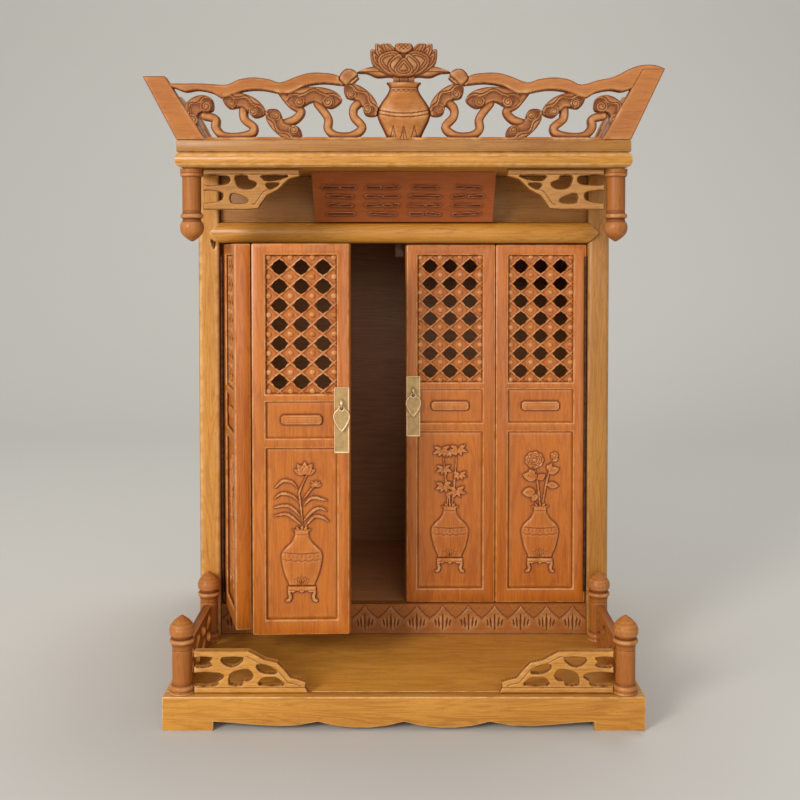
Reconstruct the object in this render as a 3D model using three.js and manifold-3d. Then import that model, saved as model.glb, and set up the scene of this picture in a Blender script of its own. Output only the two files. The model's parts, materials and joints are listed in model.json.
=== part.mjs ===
// A household altar cabinet of carved wood, in millimetres.
// X runs to the right, Y to the back and Z up. The origin is on the ground, under the middle of the base.
// The right pair of door leaves is closed and the left pair is folded part open.

import * as THREE from 'three';
import { mergeVertices } from 'three/addons/utils/BufferGeometryUtils.js';
import Module from 'manifold-3d';

const wasm = await Module();
wasm.setup();

// Clearances
const JOINT_GAP = 0.3;
const DOOR_TOP_GAP = 1.3;
const DOOR_SILL_GAP = 0.6;
const CENTRE_GAP = 2.5;
const FOLD_GAP = 0.5;
const JAMB_GAP = 0.75;
const HINGE_CLEARANCE = 0.5;
const WELD = 1e-4;

// Base
const BASE_WIDTH = 416;
const BASE_DEPTH = 434;
const BASE_HEIGHT = 29.5;
const APRON_THICKNESS = 13;
const DECK_THICKNESS = 12;
const FOOT_WIDTH = 44;
const FOOT_RECESS = 7.9;
const LOBE_DROP = 5.4;
const LOBE_WIDTH = 74;

// Porch posts and rails
const PORCH_DEPTH = 167;
const POST_INWARD = 11;
const POST_INSET = 12;
const POST_RADIUS = 8.6;
const POST_HEIGHT = 67.6;
const POST_BALL_RADIUS = 11;
const POST_COLLAR_PROUD = 1.9;
const POST_SIDES = 10;
const RAIL_HEIGHT = 36.7;
const RAIL_THICKNESS = 8;
const CORNER_RAIL_LENGTH = 99;
const RAIL_BAY = 30;
const OPENING_TILT = 0.35;

// Body
const BODY_INSET = 4.5;
const STILE_WIDTH = 21;
const STILE_DEPTH = 22;
const STILE_PROUD = 6;
const STILE_ROUND = 4;
const SIDE_THICKNESS = 10;
const BACK_THICKNESS = 8;
const BACK_INSET = 4;
const BAND_HEIGHT = 30.3;
const BAND_THICKNESS = 12;
const BAND_PROUD = 5;
const FLOOR_THICKNESS = 10;
const PETAL_PITCH = 26;
const PETAL_WIDTH = 22;
const PETAL_RAISE = 1.5;
const TOP_RAIL_HEIGHT = 20.5;
const TOP_RAIL_DEPTH = 20;
const TOP_RAIL_PROUD = 11;
const TOP_RAIL_POINT = 10;
const FRIEZE_HEIGHT = 45.7;
const FRIEZE_THICKNESS = 8;
const FRIEZE_SETBACK = 2;

// Roof
const CORNICE_SIDE_PROUD = 2;
const CORNICE_HEIGHT = 14;
const CORNICE_OVERHANG = 110;
const CORNICE_ROUND = 5.5;
const CAP_SIDE_SETBACK = 0.5;
const CAP_HEIGHT = 10.5;
const CAP_SETBACK = 5;

// Hanging posts, brackets and plaque
const PENDANT_INWARD = 10.1;
const PENDANT_OVERHANG = 92;
const PENDANT_RADIUS = 8.6;
const PENDANT_BALL_RADIUS = 10.8;
const PENDANT_COLLAR_PROUD = 1.8;
const PENDANT_DROP = 66;
const BRACKET_THICKNESS = 7;
const BRACKET_LENGTH = 88;
const BRACKET_DROP = 37;
const PLAQUE_WIDTH = 174;
const PLAQUE_THICKNESS = 5;
const PLAQUE_LEAN = THREE.MathUtils.degToRad(45);
const PLAQUE_PROUD = 12;
const STROKE_RAISE = 1.2;
const STROKE_WIDTH = 3;
const STROKE_GROUPS = 4;
const STROKE_ROWS = 4;

// Crest
const CREST_THICKNESS = 12;
const CREST_SETBACK = 1;
const CREST_FOOT_INSET = 0.2;
const CREST_FLARE = 30.2;
const TIP_HEIGHT_RIGHT = 63.8;
const TIP_HEIGHT_LEFT = 57;
const CREST_STILE_FOOT = 26;
const CREST_STILE_TOP = 20;
const CREST_FILLET = 2.5;
const CREST_SIDE_LENGTH = 200;
const CREST_SIDE_THICKNESS = 10;
const SIDE_STILE_WIDTH = 22;
const SIDE_END_WIDTH = 12;
const SCROLL_THICKNESS = 8;
const HEAD_THICKNESS = 11;
const STEM_WIDTH = 7;
const VASE_HEIGHT = 52;
const VASE_RADIUS = 24;
const VASE_FLATNESS = 0.36;

// Door leaves
const LEAF_HEIGHT = 359;
const LEAF_THICKNESS = 15;
const LEAF_STILE = 12.5;
const LEAF_TOP_RAIL = 10.5;
const LATTICE_HEIGHT = 127;
const LATTICE_RAIL = 7;
const MIDDLE_HEIGHT = 33.5;
const MIDDLE_RAIL = 9;
const LEAF_BOTTOM_RAIL = 14;
const PANEL_SETBACK = 3;
const PANEL_THICKNESS = 6;
const GROOVE_DEPTH = 2.5;
const MEETING_BEVEL_WIDTH = 1.5;
const MEETING_BEVEL_DEPTH = 8;
const LATTICE_COLUMNS = 3;
const LATTICE_ROWS = 7;
const LATTICE_MARGIN = 0.27;
const HOLE_WIDTH = 14.4;
const HOLE_HEIGHT = 12.4;
const TABLET_WIDTH = 38;
const TABLET_HEIGHT = 9;
const TABLET_CHAMFER = 2;
const RELIEF = 2.2;
const STAND_HEIGHT = 14;
const STAND_RISE = 16;
const VASE_REST_GAP = 1;

// Metal
const HINGE_RADIUS = 1.5;
const HINGE_MARGIN = 12;
const PLATE_WIDTH = 13.5;
const PLATE_HEIGHT = 60;
const PLATE_THICKNESS = 1.2;
const EYE_RADIUS = 4.6;
const EYE_WIRE_RADIUS = 0.6;
const EYE_RISE = 15;
const EYE_TURN = THREE.MathUtils.degToRad(198);
const EYE_HANG = THREE.MathUtils.degToRad(60);
const PULL_WIDTH = 15;
const PULL_LENGTH = 24;
const PULL_THICKNESS = 1;
const PULL_HOLE_RADIUS = 1.5;
const PULL_CROWN = 1;
const CATCH_WIDTH = 8;
const CATCH_THICKNESS = 2;
const CATCH_HEIGHT = 26;
const CATCH_DROP = 12;
const CATCH_BEND_RISE = 4;
const CATCH_SIDE_GAP = 0.5;

// The left pair stands as in the picture: the outer leaf is swung out, the inner one folded back on it
const LEFT_OUTER_OPEN = THREE.MathUtils.degToRad(75);
const LEFT_INNER_FOLD = THREE.MathUtils.degToRad(77);

// Levels and planes worked out from the values above
const FACE_Y = -BASE_DEPTH / 2 + PORCH_DEPTH;
const DECK_Z = BASE_HEIGHT;
const SILL_Z = DECK_Z + JOINT_GAP + BAND_HEIGHT;
const LEAF_Z = SILL_Z + DOOR_SILL_GAP;
const RAIL_Z = LEAF_Z + LEAF_HEIGHT + DOOR_TOP_GAP;
const FRIEZE_Z = RAIL_Z + TOP_RAIL_HEIGHT + JOINT_GAP;
const SOFFIT_Z = FRIEZE_Z + FRIEZE_HEIGHT + JOINT_GAP;
const CAP_Z = SOFFIT_Z + CORNICE_HEIGHT + JOINT_GAP;
const CREST_Z = CAP_Z + CAP_HEIGHT + JOINT_GAP;
const POST_FRONT_Y = -BASE_DEPTH / 2 + POST_INSET;
const STILE_FRONT_Y = FACE_Y - STILE_PROUD;
const POST_BACK_Y = STILE_FRONT_Y - POST_BALL_RADIUS - JOINT_GAP;
const STILE_BACK_Y = STILE_FRONT_Y + STILE_DEPTH;
const BODY_HALF = BASE_WIDTH / 2 - BODY_INSET;
const POST_X = BODY_HALF - POST_INWARD;
const PENDANT_X = BODY_HALF - PENDANT_INWARD;
const CORNICE_HALF = BODY_HALF + CORNICE_SIDE_PROUD;
const CAP_HALF = CORNICE_HALF - CAP_SIDE_SETBACK;
const CREST_FOOT_X = CAP_HALF - CREST_FOOT_INSET;
const CREST_TIP_X = CREST_FOOT_X + CREST_FLARE;
const BODY_BACK_Y = BASE_DEPTH / 2 - BACK_INSET;
const ROOM_BACK_Y = BODY_BACK_Y - BACK_THICKNESS;
const DOORWAY_HALF = BODY_HALF - STILE_WIDTH;
const CORNICE_FRONT_Y = FACE_Y - CORNICE_OVERHANG;
const CAP_FRONT_Y = CORNICE_FRONT_Y + CAP_SETBACK;
const CREST_FRONT_Y = CAP_FRONT_Y + CREST_SETBACK;
const PENDANT_Y = FACE_Y - PENDANT_OVERHANG;
const LEAF_WIDTH = (DOORWAY_HALF - JAMB_GAP - FOLD_GAP - CENTRE_GAP / 2) / 2;
const LEAF_OPENING = LEAF_WIDTH - 2 * LEAF_STILE;
const LOWER_HEIGHT = LEAF_HEIGHT - LEAF_TOP_RAIL - LATTICE_HEIGHT - LATTICE_RAIL
  - MIDDLE_HEIGHT - MIDDLE_RAIL - LEAF_BOTTOM_RAIL;
const LOWER_Z = LEAF_BOTTOM_RAIL;
const MIDDLE_Z = LOWER_Z + LOWER_HEIGHT + MIDDLE_RAIL;
const LATTICE_Z = MIDDLE_Z + MIDDLE_HEIGHT + LATTICE_RAIL;
const PLATE_CENTRE_Z = MIDDLE_Z + MIDDLE_HEIGHT / 2;
const FOLD_X = CENTRE_GAP / 2 + LEAF_WIDTH + FOLD_GAP / 2;
const FOLD_Y = FACE_Y + LEAF_THICKNESS + HINGE_RADIUS + HINGE_CLEARANCE;
const JAMB_X = DOORWAY_HALF - HINGE_RADIUS - JOINT_GAP;
const JAMB_Y = FACE_Y - HINGE_RADIUS - HINGE_CLEARANCE;

// Finishes
const FRAME_WOOD = new THREE.MeshStandardMaterial({ color: 0xc8924a, roughness: 0.45 });
const DOOR_WOOD = new THREE.MeshStandardMaterial({ color: 0xb8683a, roughness: 0.45 });
const CARVED_WOOD = new THREE.MeshStandardMaterial({ color: 0xb4653c, roughness: 0.5 });
const PLAQUE_WOOD = new THREE.MeshStandardMaterial({ color: 0x8b4a2b, roughness: 0.5 });
const ROOM_WOOD = new THREE.MeshStandardMaterial({ color: 0x55301c, roughness: 0.6 });
const BRASS = new THREE.MeshStandardMaterial({ color: 0xa8905a, roughness: 0.35, metalness: 0.9 });
const DARK_METAL = new THREE.MeshStandardMaterial({ color: 0x4a3b2a, roughness: 0.5, metalness: 0.7 });

const cabinet = new THREE.Group();

// Solids: a closed geometry becomes a solid that can be joined and cut, and a solid a geometry again.

function solidOf(geometry) {
  const bare = geometry.clone();
  bare.deleteAttribute('normal');
  bare.deleteAttribute('uv');
  const merged = mergeVertices(bare, WELD);
  const mesh = new wasm.Mesh({
    numProp: 3,
    vertProperties: merged.getAttribute('position').array,
    triVerts: merged.index.array,
  });
  return new wasm.Manifold(mesh);
}

function geometryOf(solid) {
  const mesh = solid.getMesh();
  const geometry = new THREE.BufferGeometry();
  geometry.setAttribute('position', new THREE.BufferAttribute(mesh.vertProperties, 3));
  geometry.setIndex(new THREE.BufferAttribute(mesh.triVerts, 1));
  return geometry;
}

function joined(geometries) {
  let whole = solidOf(geometries[0]);
  for (const geometry of geometries.slice(1)) {
    whole = whole.add(solidOf(geometry));
  }
  return geometryOf(whole);
}

function cut(geometry, tools) {
  let whole = solidOf(geometry);
  for (const tool of tools) {
    whole = whole.subtract(solidOf(tool));
  }
  return geometryOf(whole);
}

function common(first, second) {
  return geometryOf(solidOf(first).intersect(solidOf(second)));
}

function place(name, geometry, material, parent = cabinet) {
  const mesh = new THREE.Mesh(geometry, material);
  mesh.name = name;
  parent.add(mesh);
  return mesh;
}

// Basic forms

function block(x0, x1, y0, y1, z0, z1) {
  const geometry = new THREE.BoxGeometry(x1 - x0, y1 - y0, z1 - z0);
  geometry.translate((x0 + x1) / 2, (y0 + y1) / 2, (z0 + z1) / 2);
  return geometry;
}

function outline(points) {
  return new THREE.Shape(points.map(([x, y]) => new THREE.Vector2(x, y)));
}

function thick(shape, depth, curveSegments = 4) {
  return new THREE.ExtrudeGeometry(shape, { depth, bevelEnabled: false, curveSegments });
}

// A panel drawn as it is seen from the front, with its face at frontY.
function frontPanel(shape, thickness, frontY, curveSegments = 4) {
  const geometry = thick(shape, thickness, curveSegments);
  geometry.rotateX(Math.PI / 2);
  geometry.translate(0, frontY + thickness, 0);
  return geometry;
}

// A form drawn in Y and Z that runs along X from x0 to x1.
function alongX(shape, x0, x1, curveSegments = 4) {
  const geometry = thick(shape, x1 - x0, curveSegments);
  geometry.applyMatrix4(new THREE.Matrix4().makeBasis(
    new THREE.Vector3(0, 1, 0),
    new THREE.Vector3(0, 0, 1),
    new THREE.Vector3(1, 0, 0),
  ));
  geometry.translate(x0, 0, 0);
  return geometry;
}

// A form drawn in X and Y that stands from z0 to z1.
function alongZ(shape, z0, z1, curveSegments = 4) {
  const geometry = thick(shape, z1 - z0, curveSegments);
  geometry.translate(0, 0, z0);
  return geometry;
}

function turned(profile, sides) {
  const geometry = new THREE.LatheGeometry(profile.map(([r, z]) => new THREE.Vector2(r, z)), sides);
  geometry.rotateX(Math.PI / 2);
  return geometry;
}

// The same form on the other side of the middle, with its faces still pointing out.
function mirroredX(geometry) {
  const other = geometry.index ? geometry.toNonIndexed() : geometry.clone();
  other.scale(-1, 1, 1);
  const position = other.getAttribute('position');
  const first = new THREE.Vector3();
  const second = new THREE.Vector3();
  for (let corner = 0; corner < position.count; corner += 3) {
    first.fromBufferAttribute(position, corner);
    second.fromBufferAttribute(position, corner + 1);
    position.setXYZ(corner, second.x, second.y, second.z);
    position.setXYZ(corner + 1, first.x, first.y, first.z);
  }
  return other;
}

function onSide(geometry, side) {
  return side > 0 ? geometry : mirroredX(geometry);
}

// A rounded opening, squarer than an ellipse.
function openingPath(x, z, width, height, tilt = 0, sides = 7) {
  const points = [];
  for (let i = 0; i < sides; i += 1) {
    const angle = (i + 0.5) * 2 * Math.PI / sides;
    const u = Math.sign(Math.cos(angle)) * Math.abs(Math.cos(angle)) ** 0.7 * width / 2;
    const v = Math.sign(Math.sin(angle)) * Math.abs(Math.sin(angle)) ** 0.7 * height / 2;
    points.push(new THREE.Vector2(
      x + u * Math.cos(tilt) - v * Math.sin(tilt),
      z + u * Math.sin(tilt) + v * Math.cos(tilt),
    ));
  }
  return new THREE.Path(points);
}

// A band of even width along a smooth line through the given points.
function ribbon(points, width, steps) {
  const line = new THREE.SplineCurve(points.map(([x, z]) => new THREE.Vector2(x, z)));
  const near = [];
  const far = [];
  for (let i = 0; i <= steps; i += 1) {
    const at = line.getPoint(i / steps);
    const along = line.getTangent(i / steps);
    near.push([at.x - along.y * width / 2, at.y + along.x * width / 2]);
    far.unshift([at.x + along.y * width / 2, at.y - along.x * width / 2]);
  }
  return outline([...near, ...far]);
}

// A pointed leaf or petal from its root, at an angle from straight up, clockwise.
function petal(x, z, length, width, angle) {
  const along = [Math.sin(angle), Math.cos(angle)];
  const across = [along[1], -along[0]];
  const at = (share, half) => [
    x + along[0] * length * share + across[0] * width * half,
    z + along[1] * length * share + across[1] * width * half,
  ];
  return outline([at(0, 0.1), at(0.55, 0.5), at(1, 0), at(0.55, -0.5), at(0, -0.1)]);
}

// Base: four scalloped aprons around a deck board, flush on top.

function scallopedApron(length, foot) {
  const half = length / 2;
  const inner = half - foot;
  const shape = new THREE.Shape();
  shape.moveTo(-half, 0);
  shape.lineTo(-inner, 0);
  shape.lineTo(-inner, FOOT_RECESS);
  const lobes = 2 * Math.max(1, Math.round((inner - LOBE_WIDTH) / LOBE_WIDTH));
  const first = -lobes * LOBE_WIDTH / 2;
  const low = FOOT_RECESS - LOBE_DROP * 2;
  const lead = LOBE_WIDTH * 0.27;
  const ease = LOBE_WIDTH * 0.38;
  const sag = FOOT_RECESS - LOBE_DROP * 1.6;
  shape.bezierCurveTo(-inner + lead, FOOT_RECESS, first - ease, sag, first, FOOT_RECESS);
  for (let i = 0; i < lobes; i += 1) {
    const start = first + i * LOBE_WIDTH;
    shape.quadraticCurveTo(start + LOBE_WIDTH / 2, low, start + LOBE_WIDTH, FOOT_RECESS);
  }
  shape.bezierCurveTo(-first + ease, sag, inner - lead, FOOT_RECESS, inner, FOOT_RECESS);
  shape.lineTo(inner, 0);
  shape.lineTo(half, 0);
  shape.lineTo(half, BASE_HEIGHT);
  shape.lineTo(-half, BASE_HEIGHT);
  return shape;
}

function buildBase() {
  const halfWidth = BASE_WIDTH / 2;
  const halfDepth = BASE_DEPTH / 2;
  const across = scallopedApron(BASE_WIDTH, FOOT_WIDTH);
  const sideLength = BASE_DEPTH - 2 * (APRON_THICKNESS + JOINT_GAP);
  const deep = scallopedApron(sideLength, FOOT_WIDTH - APRON_THICKNESS);
  place('apron_front', frontPanel(across, APRON_THICKNESS, -halfDepth, 5), FRAME_WOOD);
  place('apron_back', frontPanel(across, APRON_THICKNESS, halfDepth - APRON_THICKNESS, 5), FRAME_WOOD);
  place('apron_left', alongX(deep, -halfWidth, -halfWidth + APRON_THICKNESS, 5), FRAME_WOOD);
  place('apron_right', alongX(deep, halfWidth - APRON_THICKNESS, halfWidth, 5), FRAME_WOOD);
  const deckX = halfWidth - APRON_THICKNESS - JOINT_GAP;
  const deckY = halfDepth - APRON_THICKNESS - JOINT_GAP;
  place('deck_board', block(-deckX, deckX, -deckY, deckY, DECK_Z - DECK_THICKNESS, DECK_Z), FRAME_WOOD);
}

// Porch: turned posts with pointed balls, pierced rails between and beside them.

function postProfile() {
  const collar = POST_RADIUS + POST_COLLAR_PROUD;
  const foot = POST_HEIGHT * 0.11;
  const ball = POST_HEIGHT * 0.303;
  const neck = POST_HEIGHT - ball;
  return [
    [0, 0], [collar, 0], [collar, foot * 0.7], [POST_RADIUS, foot],
    [POST_RADIUS, neck - ball * 0.36], [collar, neck - ball * 0.27], [collar, neck - ball * 0.08],
    [POST_RADIUS, neck], [POST_BALL_RADIUS, neck + ball * 0.31], [POST_BALL_RADIUS * 0.8, neck + ball * 0.66],
    [POST_BALL_RADIUS * 0.35, neck + ball * 0.88], [0, POST_HEIGHT],
  ];
}

function buildPosts() {
  const corners = [
    ['newel_front_left', -POST_X, POST_FRONT_Y], ['newel_front_right', POST_X, POST_FRONT_Y],
    ['newel_back_left', -POST_X, POST_BACK_Y], ['newel_back_right', POST_X, POST_BACK_Y],
  ];
  for (const [name, x, y] of corners) {
    const post = place(name, turned(postProfile(), POST_SIDES), CARVED_WOOD);
    post.position.set(x, y, DECK_Z + JOINT_GAP);
  }
}

// A stepped board pierced with openings, drawn in shares of its length and height.
// Openings are [distance from the post end, height of the middle, width, height, tilt].
const CORNER_RAIL_EDGE = [
  [0, 0], [1, 0], [0.97, 0.14], [0.98, 0.26], [0.865, 0.3], [0.783, 0.57], [0.64, 0.717], [0.54, 1], [0, 1],
];
const CORNER_RAIL_OPENINGS = [
  [0.141, 0.698, 0.182, 0.259, 0], [0.394, 0.736, 0.162, 0.218, -0.2], [0.182, 0.272, 0.222, 0.259, 0],
  [0.465, 0.327, 0.172, 0.368, 0.1], [0.717, 0.463, 0.121, 0.177, -0.5], [0.737, 0.191, 0.242, 0.174, 0],
];

function piercedBoard(edge, openings, length, height) {
  const shape = outline(edge.map(([x, z]) => [x * length, z * height]));
  for (const [x, z, wide, high, tilt] of openings) {
    shape.holes.push(openingPath(x * length, z * height, wide * length, high * height, tilt));
  }
  return shape;
}

function sideRailShape(length) {
  const shape = outline([[0, 0], [length, 0], [length, RAIL_HEIGHT], [0, RAIL_HEIGHT]]);
  const bays = Math.max(2, Math.round(length / RAIL_BAY));
  const bay = length / bays;
  for (let i = 0; i < bays; i += 1) {
    const swing = i % 2 ? OPENING_TILT : -OPENING_TILT;
    shape.holes.push(openingPath((i + 0.5) * bay, RAIL_HEIGHT * 0.7, bay * 0.66, RAIL_HEIGHT * 0.28, swing));
    shape.holes.push(openingPath((i + 0.5) * bay, RAIL_HEIGHT * 0.3, bay * 0.72, RAIL_HEIGHT * 0.26, -swing));
  }
  return shape;
}

function buildPorchRails() {
  const base = DECK_Z + JOINT_GAP;
  const collar = POST_RADIUS + POST_COLLAR_PROUD;
  const start = POST_X - collar - JOINT_GAP;
  const board = piercedBoard(CORNER_RAIL_EDGE, CORNER_RAIL_OPENINGS, CORNER_RAIL_LENGTH, RAIL_HEIGHT);
  for (const [word, side] of [['left', -1], ['right', 1]]) {
    const corner = frontPanel(board, RAIL_THICKNESS, POST_FRONT_Y - RAIL_THICKNESS / 2);
    const turnedRound = mirroredX(corner);
    turnedRound.translate(start, 0, base);
    place(`corner_rail_${word}`, onSide(turnedRound, side), CARVED_WOOD);

    const front = POST_FRONT_Y + collar + JOINT_GAP;
    const back = POST_BACK_Y - collar - JOINT_GAP;
    const inner = POST_X - RAIL_THICKNESS / 2;
    const rail = alongX(sideRailShape(back - front), inner, inner + RAIL_THICKNESS);
    rail.translate(0, front, base);
    place(`side_rail_${word}`, onSide(rail, side), CARVED_WOOD);
  }
}

// Body: stiles, sides, back, floor, plinth band, top rail and frieze.

function stileShape() {
  const x0 = DOORWAY_HALF;
  const x1 = BODY_HALF;
  const y0 = STILE_FRONT_Y;
  const y1 = STILE_BACK_Y;
  const r = STILE_ROUND;
  const shape = new THREE.Shape();
  shape.moveTo(x0, y1);
  shape.lineTo(x0, y0 + r);
  shape.quadraticCurveTo(x0, y0, x0 + r, y0);
  shape.lineTo(x1 - r, y0);
  shape.quadraticCurveTo(x1, y0, x1, y0 + r);
  shape.lineTo(x1, y1);
  return shape;
}

// The outline of the top rail from the front, with a pointed end that enters each stile.
function pointedRail(grow) {
  const half = DOORWAY_HALF - JOINT_GAP + grow;
  const point = half + TOP_RAIL_POINT;
  const z0 = RAIL_Z - grow;
  const z1 = RAIL_Z + TOP_RAIL_HEIGHT + grow;
  const middle = (z0 + z1) / 2;
  return outline([[-half, z0], [half, z0], [point, middle], [half, z1], [-half, z1], [-point, middle]]);
}

function topRailSection() {
  const y0 = FACE_Y - TOP_RAIL_PROUD;
  const y1 = y0 + TOP_RAIL_DEPTH;
  const z0 = RAIL_Z;
  const z1 = RAIL_Z + TOP_RAIL_HEIGHT;
  const nose = TOP_RAIL_HEIGHT / 2;
  const shape = new THREE.Shape();
  shape.moveTo(y1, z0);
  shape.lineTo(y1, z1);
  shape.lineTo(y0 + nose * 0.8, z1);
  shape.quadraticCurveTo(y0, z1, y0, z0 + nose);
  shape.quadraticCurveTo(y0, z0, y0 + nose * 0.8, z0);
  return shape;
}

function petalOutline(x) {
  const half = PETAL_WIDTH / 2;
  const shoulder = half * 0.62;
  const low = DECK_Z + BAND_HEIGHT * 0.1;
  const side = DECK_Z + BAND_HEIGHT * 0.5;
  const bend = DECK_Z + BAND_HEIGHT * 0.77;
  const top = DECK_Z + BAND_HEIGHT * 0.967;
  return outline([
    [x - half, low], [x + half, low], [x + half, side], [x + shoulder, bend],
    [x, top], [x - shoulder, bend], [x - half, side],
  ]);
}

function buildBand() {
  const half = DOORWAY_HALF - JOINT_GAP;
  const front = FACE_Y - BAND_PROUD + PETAL_RAISE;
  const pieces = [block(-half, half, front, front + BAND_THICKNESS, DECK_Z + JOINT_GAP, SILL_Z)];
  const count = Math.floor(2 * half / PETAL_PITCH);
  for (let i = 0; i < count; i += 1) {
    const x = (i - (count - 1) / 2) * PETAL_PITCH;
    pieces.push(frontPanel(petalOutline(x), PETAL_RAISE + 1, front - PETAL_RAISE));
  }
  place('plinth_band', joined(pieces), CARVED_WOOD);
}

function buildBody() {
  const foot = DECK_Z + JOINT_GAP;
  const head = SOFFIT_Z - JOINT_GAP;
  const notchFront = FACE_Y - TOP_RAIL_PROUD - 1;
  const notch = frontPanel(pointedRail(JOINT_GAP), TOP_RAIL_DEPTH + TOP_RAIL_PROUD, notchFront);
  const stile = cut(alongZ(stileShape(), foot, head), [notch]);
  const sideFront = STILE_BACK_Y + JOINT_GAP;
  const sideBack = ROOM_BACK_Y - JOINT_GAP;
  for (const [word, side] of [['left', -1], ['right', 1]]) {
    place(`stile_${word}`, onSide(stile, side), FRAME_WOOD);
    const panel = block(BODY_HALF - SIDE_THICKNESS, BODY_HALF, sideFront, sideBack, foot, head);
    place(`side_panel_${word}`, onSide(panel, side), FRAME_WOOD);
  }
  place('back_panel', block(-BODY_HALF, BODY_HALF, ROOM_BACK_Y, BODY_BACK_Y, foot, head), ROOM_WOOD);

  const reach = DOORWAY_HALF + TOP_RAIL_POINT + JOINT_GAP;
  const rail = common(
    alongX(topRailSection(), -reach, reach),
    frontPanel(pointedRail(0), TOP_RAIL_DEPTH * 2, FACE_Y - TOP_RAIL_DEPTH),
  );
  place('top_rail', rail, FRAME_WOOD);
  const friezeFront = FACE_Y + FRIEZE_SETBACK;
  const friezeHalf = DOORWAY_HALF - JOINT_GAP;
  place('frieze_panel', block(
    -friezeHalf, friezeHalf, friezeFront, friezeFront + FRIEZE_THICKNESS, FRIEZE_Z, SOFFIT_Z - JOINT_GAP,
  ), FRAME_WOOD);

  buildBand();
  const floorFront = FACE_Y - BAND_PROUD + PETAL_RAISE + BAND_THICKNESS + JOINT_GAP;
  const floorHalf = BODY_HALF - SIDE_THICKNESS - JOINT_GAP;
  const floorNotch = DOORWAY_HALF - JOINT_GAP;
  const behindStile = STILE_BACK_Y + JOINT_GAP;
  const floorShape = outline([
    [-floorNotch, floorFront], [floorNotch, floorFront], [floorNotch, behindStile], [floorHalf, behindStile],
    [floorHalf, sideBack], [-floorHalf, sideBack], [-floorHalf, behindStile], [-floorNotch, behindStile],
  ]);
  place('floor_board', alongZ(floorShape, SILL_Z - FLOOR_THICKNESS, SILL_Z), ROOM_WOOD);
}

// Roof: a board with a rounded edge and a flat board above it.

function roundedBoard(halfX, y0, y1, z0, height, round) {
  const shape = outline([
    [-halfX + round, y0 + round], [halfX - round, y0 + round],
    [halfX - round, y1 - round], [-halfX + round, y1 - round],
  ]);
  const geometry = new THREE.ExtrudeGeometry(shape, {
    depth: height - 2 * round,
    bevelEnabled: true,
    bevelThickness: round,
    bevelSize: round,
    bevelSegments: 3,
  });
  geometry.translate(0, 0, z0 + round);
  return geometry;
}

function buildRoof() {
  const back = BASE_DEPTH / 2;
  const cornice = roundedBoard(CORNICE_HALF, CORNICE_FRONT_Y, back, SOFFIT_Z, CORNICE_HEIGHT, CORNICE_ROUND);
  place('cornice_board', cornice, FRAME_WOOD);
  const cap = block(-CAP_HALF, CAP_HALF, CAP_FRONT_Y, back - CAP_SETBACK, CAP_Z, CAP_Z + CAP_HEIGHT);
  place('cap_board', cap, FRAME_WOOD);
}

// Hanging posts, pierced brackets and the leaning plaque under the cornice.

function pendantProfile() {
  const ring = PENDANT_RADIUS + PENDANT_COLLAR_PROUD;
  const ball = PENDANT_BALL_RADIUS;
  const at = (share) => -PENDANT_DROP * share;
  return [
    [0, at(1)], [ball * 0.45, at(0.955)], [ball * 0.92, at(0.88)], [ball, at(0.81)],
    [PENDANT_RADIUS, at(0.697)], [ring, at(0.667)], [ring, at(0.629)], [PENDANT_RADIUS, at(0.606)],
    [PENDANT_RADIUS, at(0.106)], [ring, at(0.083)], [ring, 0], [0, 0],
  ];
}

// The bracket hangs from the soffit, so its heights are shares below it.
const BRACKET_EDGE = [
  [0, 0], [1, 0], [1, -0.176], [0.886, -0.257], [0.773, -0.514], [0.659, -0.66], [0.568, -0.973],
  [0.455, -1], [0, -1],
];
const BRACKET_OPENINGS = [
  [0.142, -0.27, 0.227, 0.227, 0], [0.449, -0.324, 0.216, 0.284, 0], [0.727, -0.227, 0.216, 0.135, 0.05],
  [0.108, -0.676, 0.148, 0.227, 0], [0.381, -0.73, 0.182, 0.189, 0], [0.71, -0.459, 0.125, 0.135, 0.5],
];

function buildUnderCornice() {
  const top = SOFFIT_Z - JOINT_GAP;
  for (const [word, side] of [['left', -1], ['right', 1]]) {
    const pendant = place(`pendant_${word}`, turned(pendantProfile(), POST_SIDES), CARVED_WOOD);
    pendant.position.set(side * PENDANT_X, PENDANT_Y, top);
    const board = piercedBoard(BRACKET_EDGE, BRACKET_OPENINGS, BRACKET_LENGTH, BRACKET_DROP);
    const bracket = mirroredX(frontPanel(board, BRACKET_THICKNESS, PENDANT_Y - BRACKET_THICKNESS / 2));
    bracket.translate(PENDANT_X - PENDANT_RADIUS - PENDANT_COLLAR_PROUD - JOINT_GAP, 0, top);
    place(`bracket_${word}`, onSide(bracket, side), CARVED_WOOD);
  }
}

// Strokes stand in four groups, in rows that spell nothing.
function plaqueStrokes(slope) {
  const strokes = [];
  const groupPitch = PLAQUE_WIDTH / STROKE_GROUPS * 0.92;
  const rowPitch = slope * 0.17;
  for (let group = 0; group < STROKE_GROUPS; group += 1) {
    const middle = (group - (STROKE_GROUPS - 1) / 2) * groupPitch;
    for (let row = 0; row < STROKE_ROWS; row += 1) {
      const long = groupPitch * (0.75 - 0.175 * ((group + row) % 3));
      const up = slope / 2 + (row - (STROKE_ROWS - 1) / 2) * rowPitch;
      const stroke = block(
        middle - long / 2, middle + long / 2, -STROKE_RAISE, 1, up - STROKE_WIDTH / 2, up + STROKE_WIDTH / 2,
      );
      strokes.push(stroke);
    }
  }
  return strokes;
}

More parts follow.
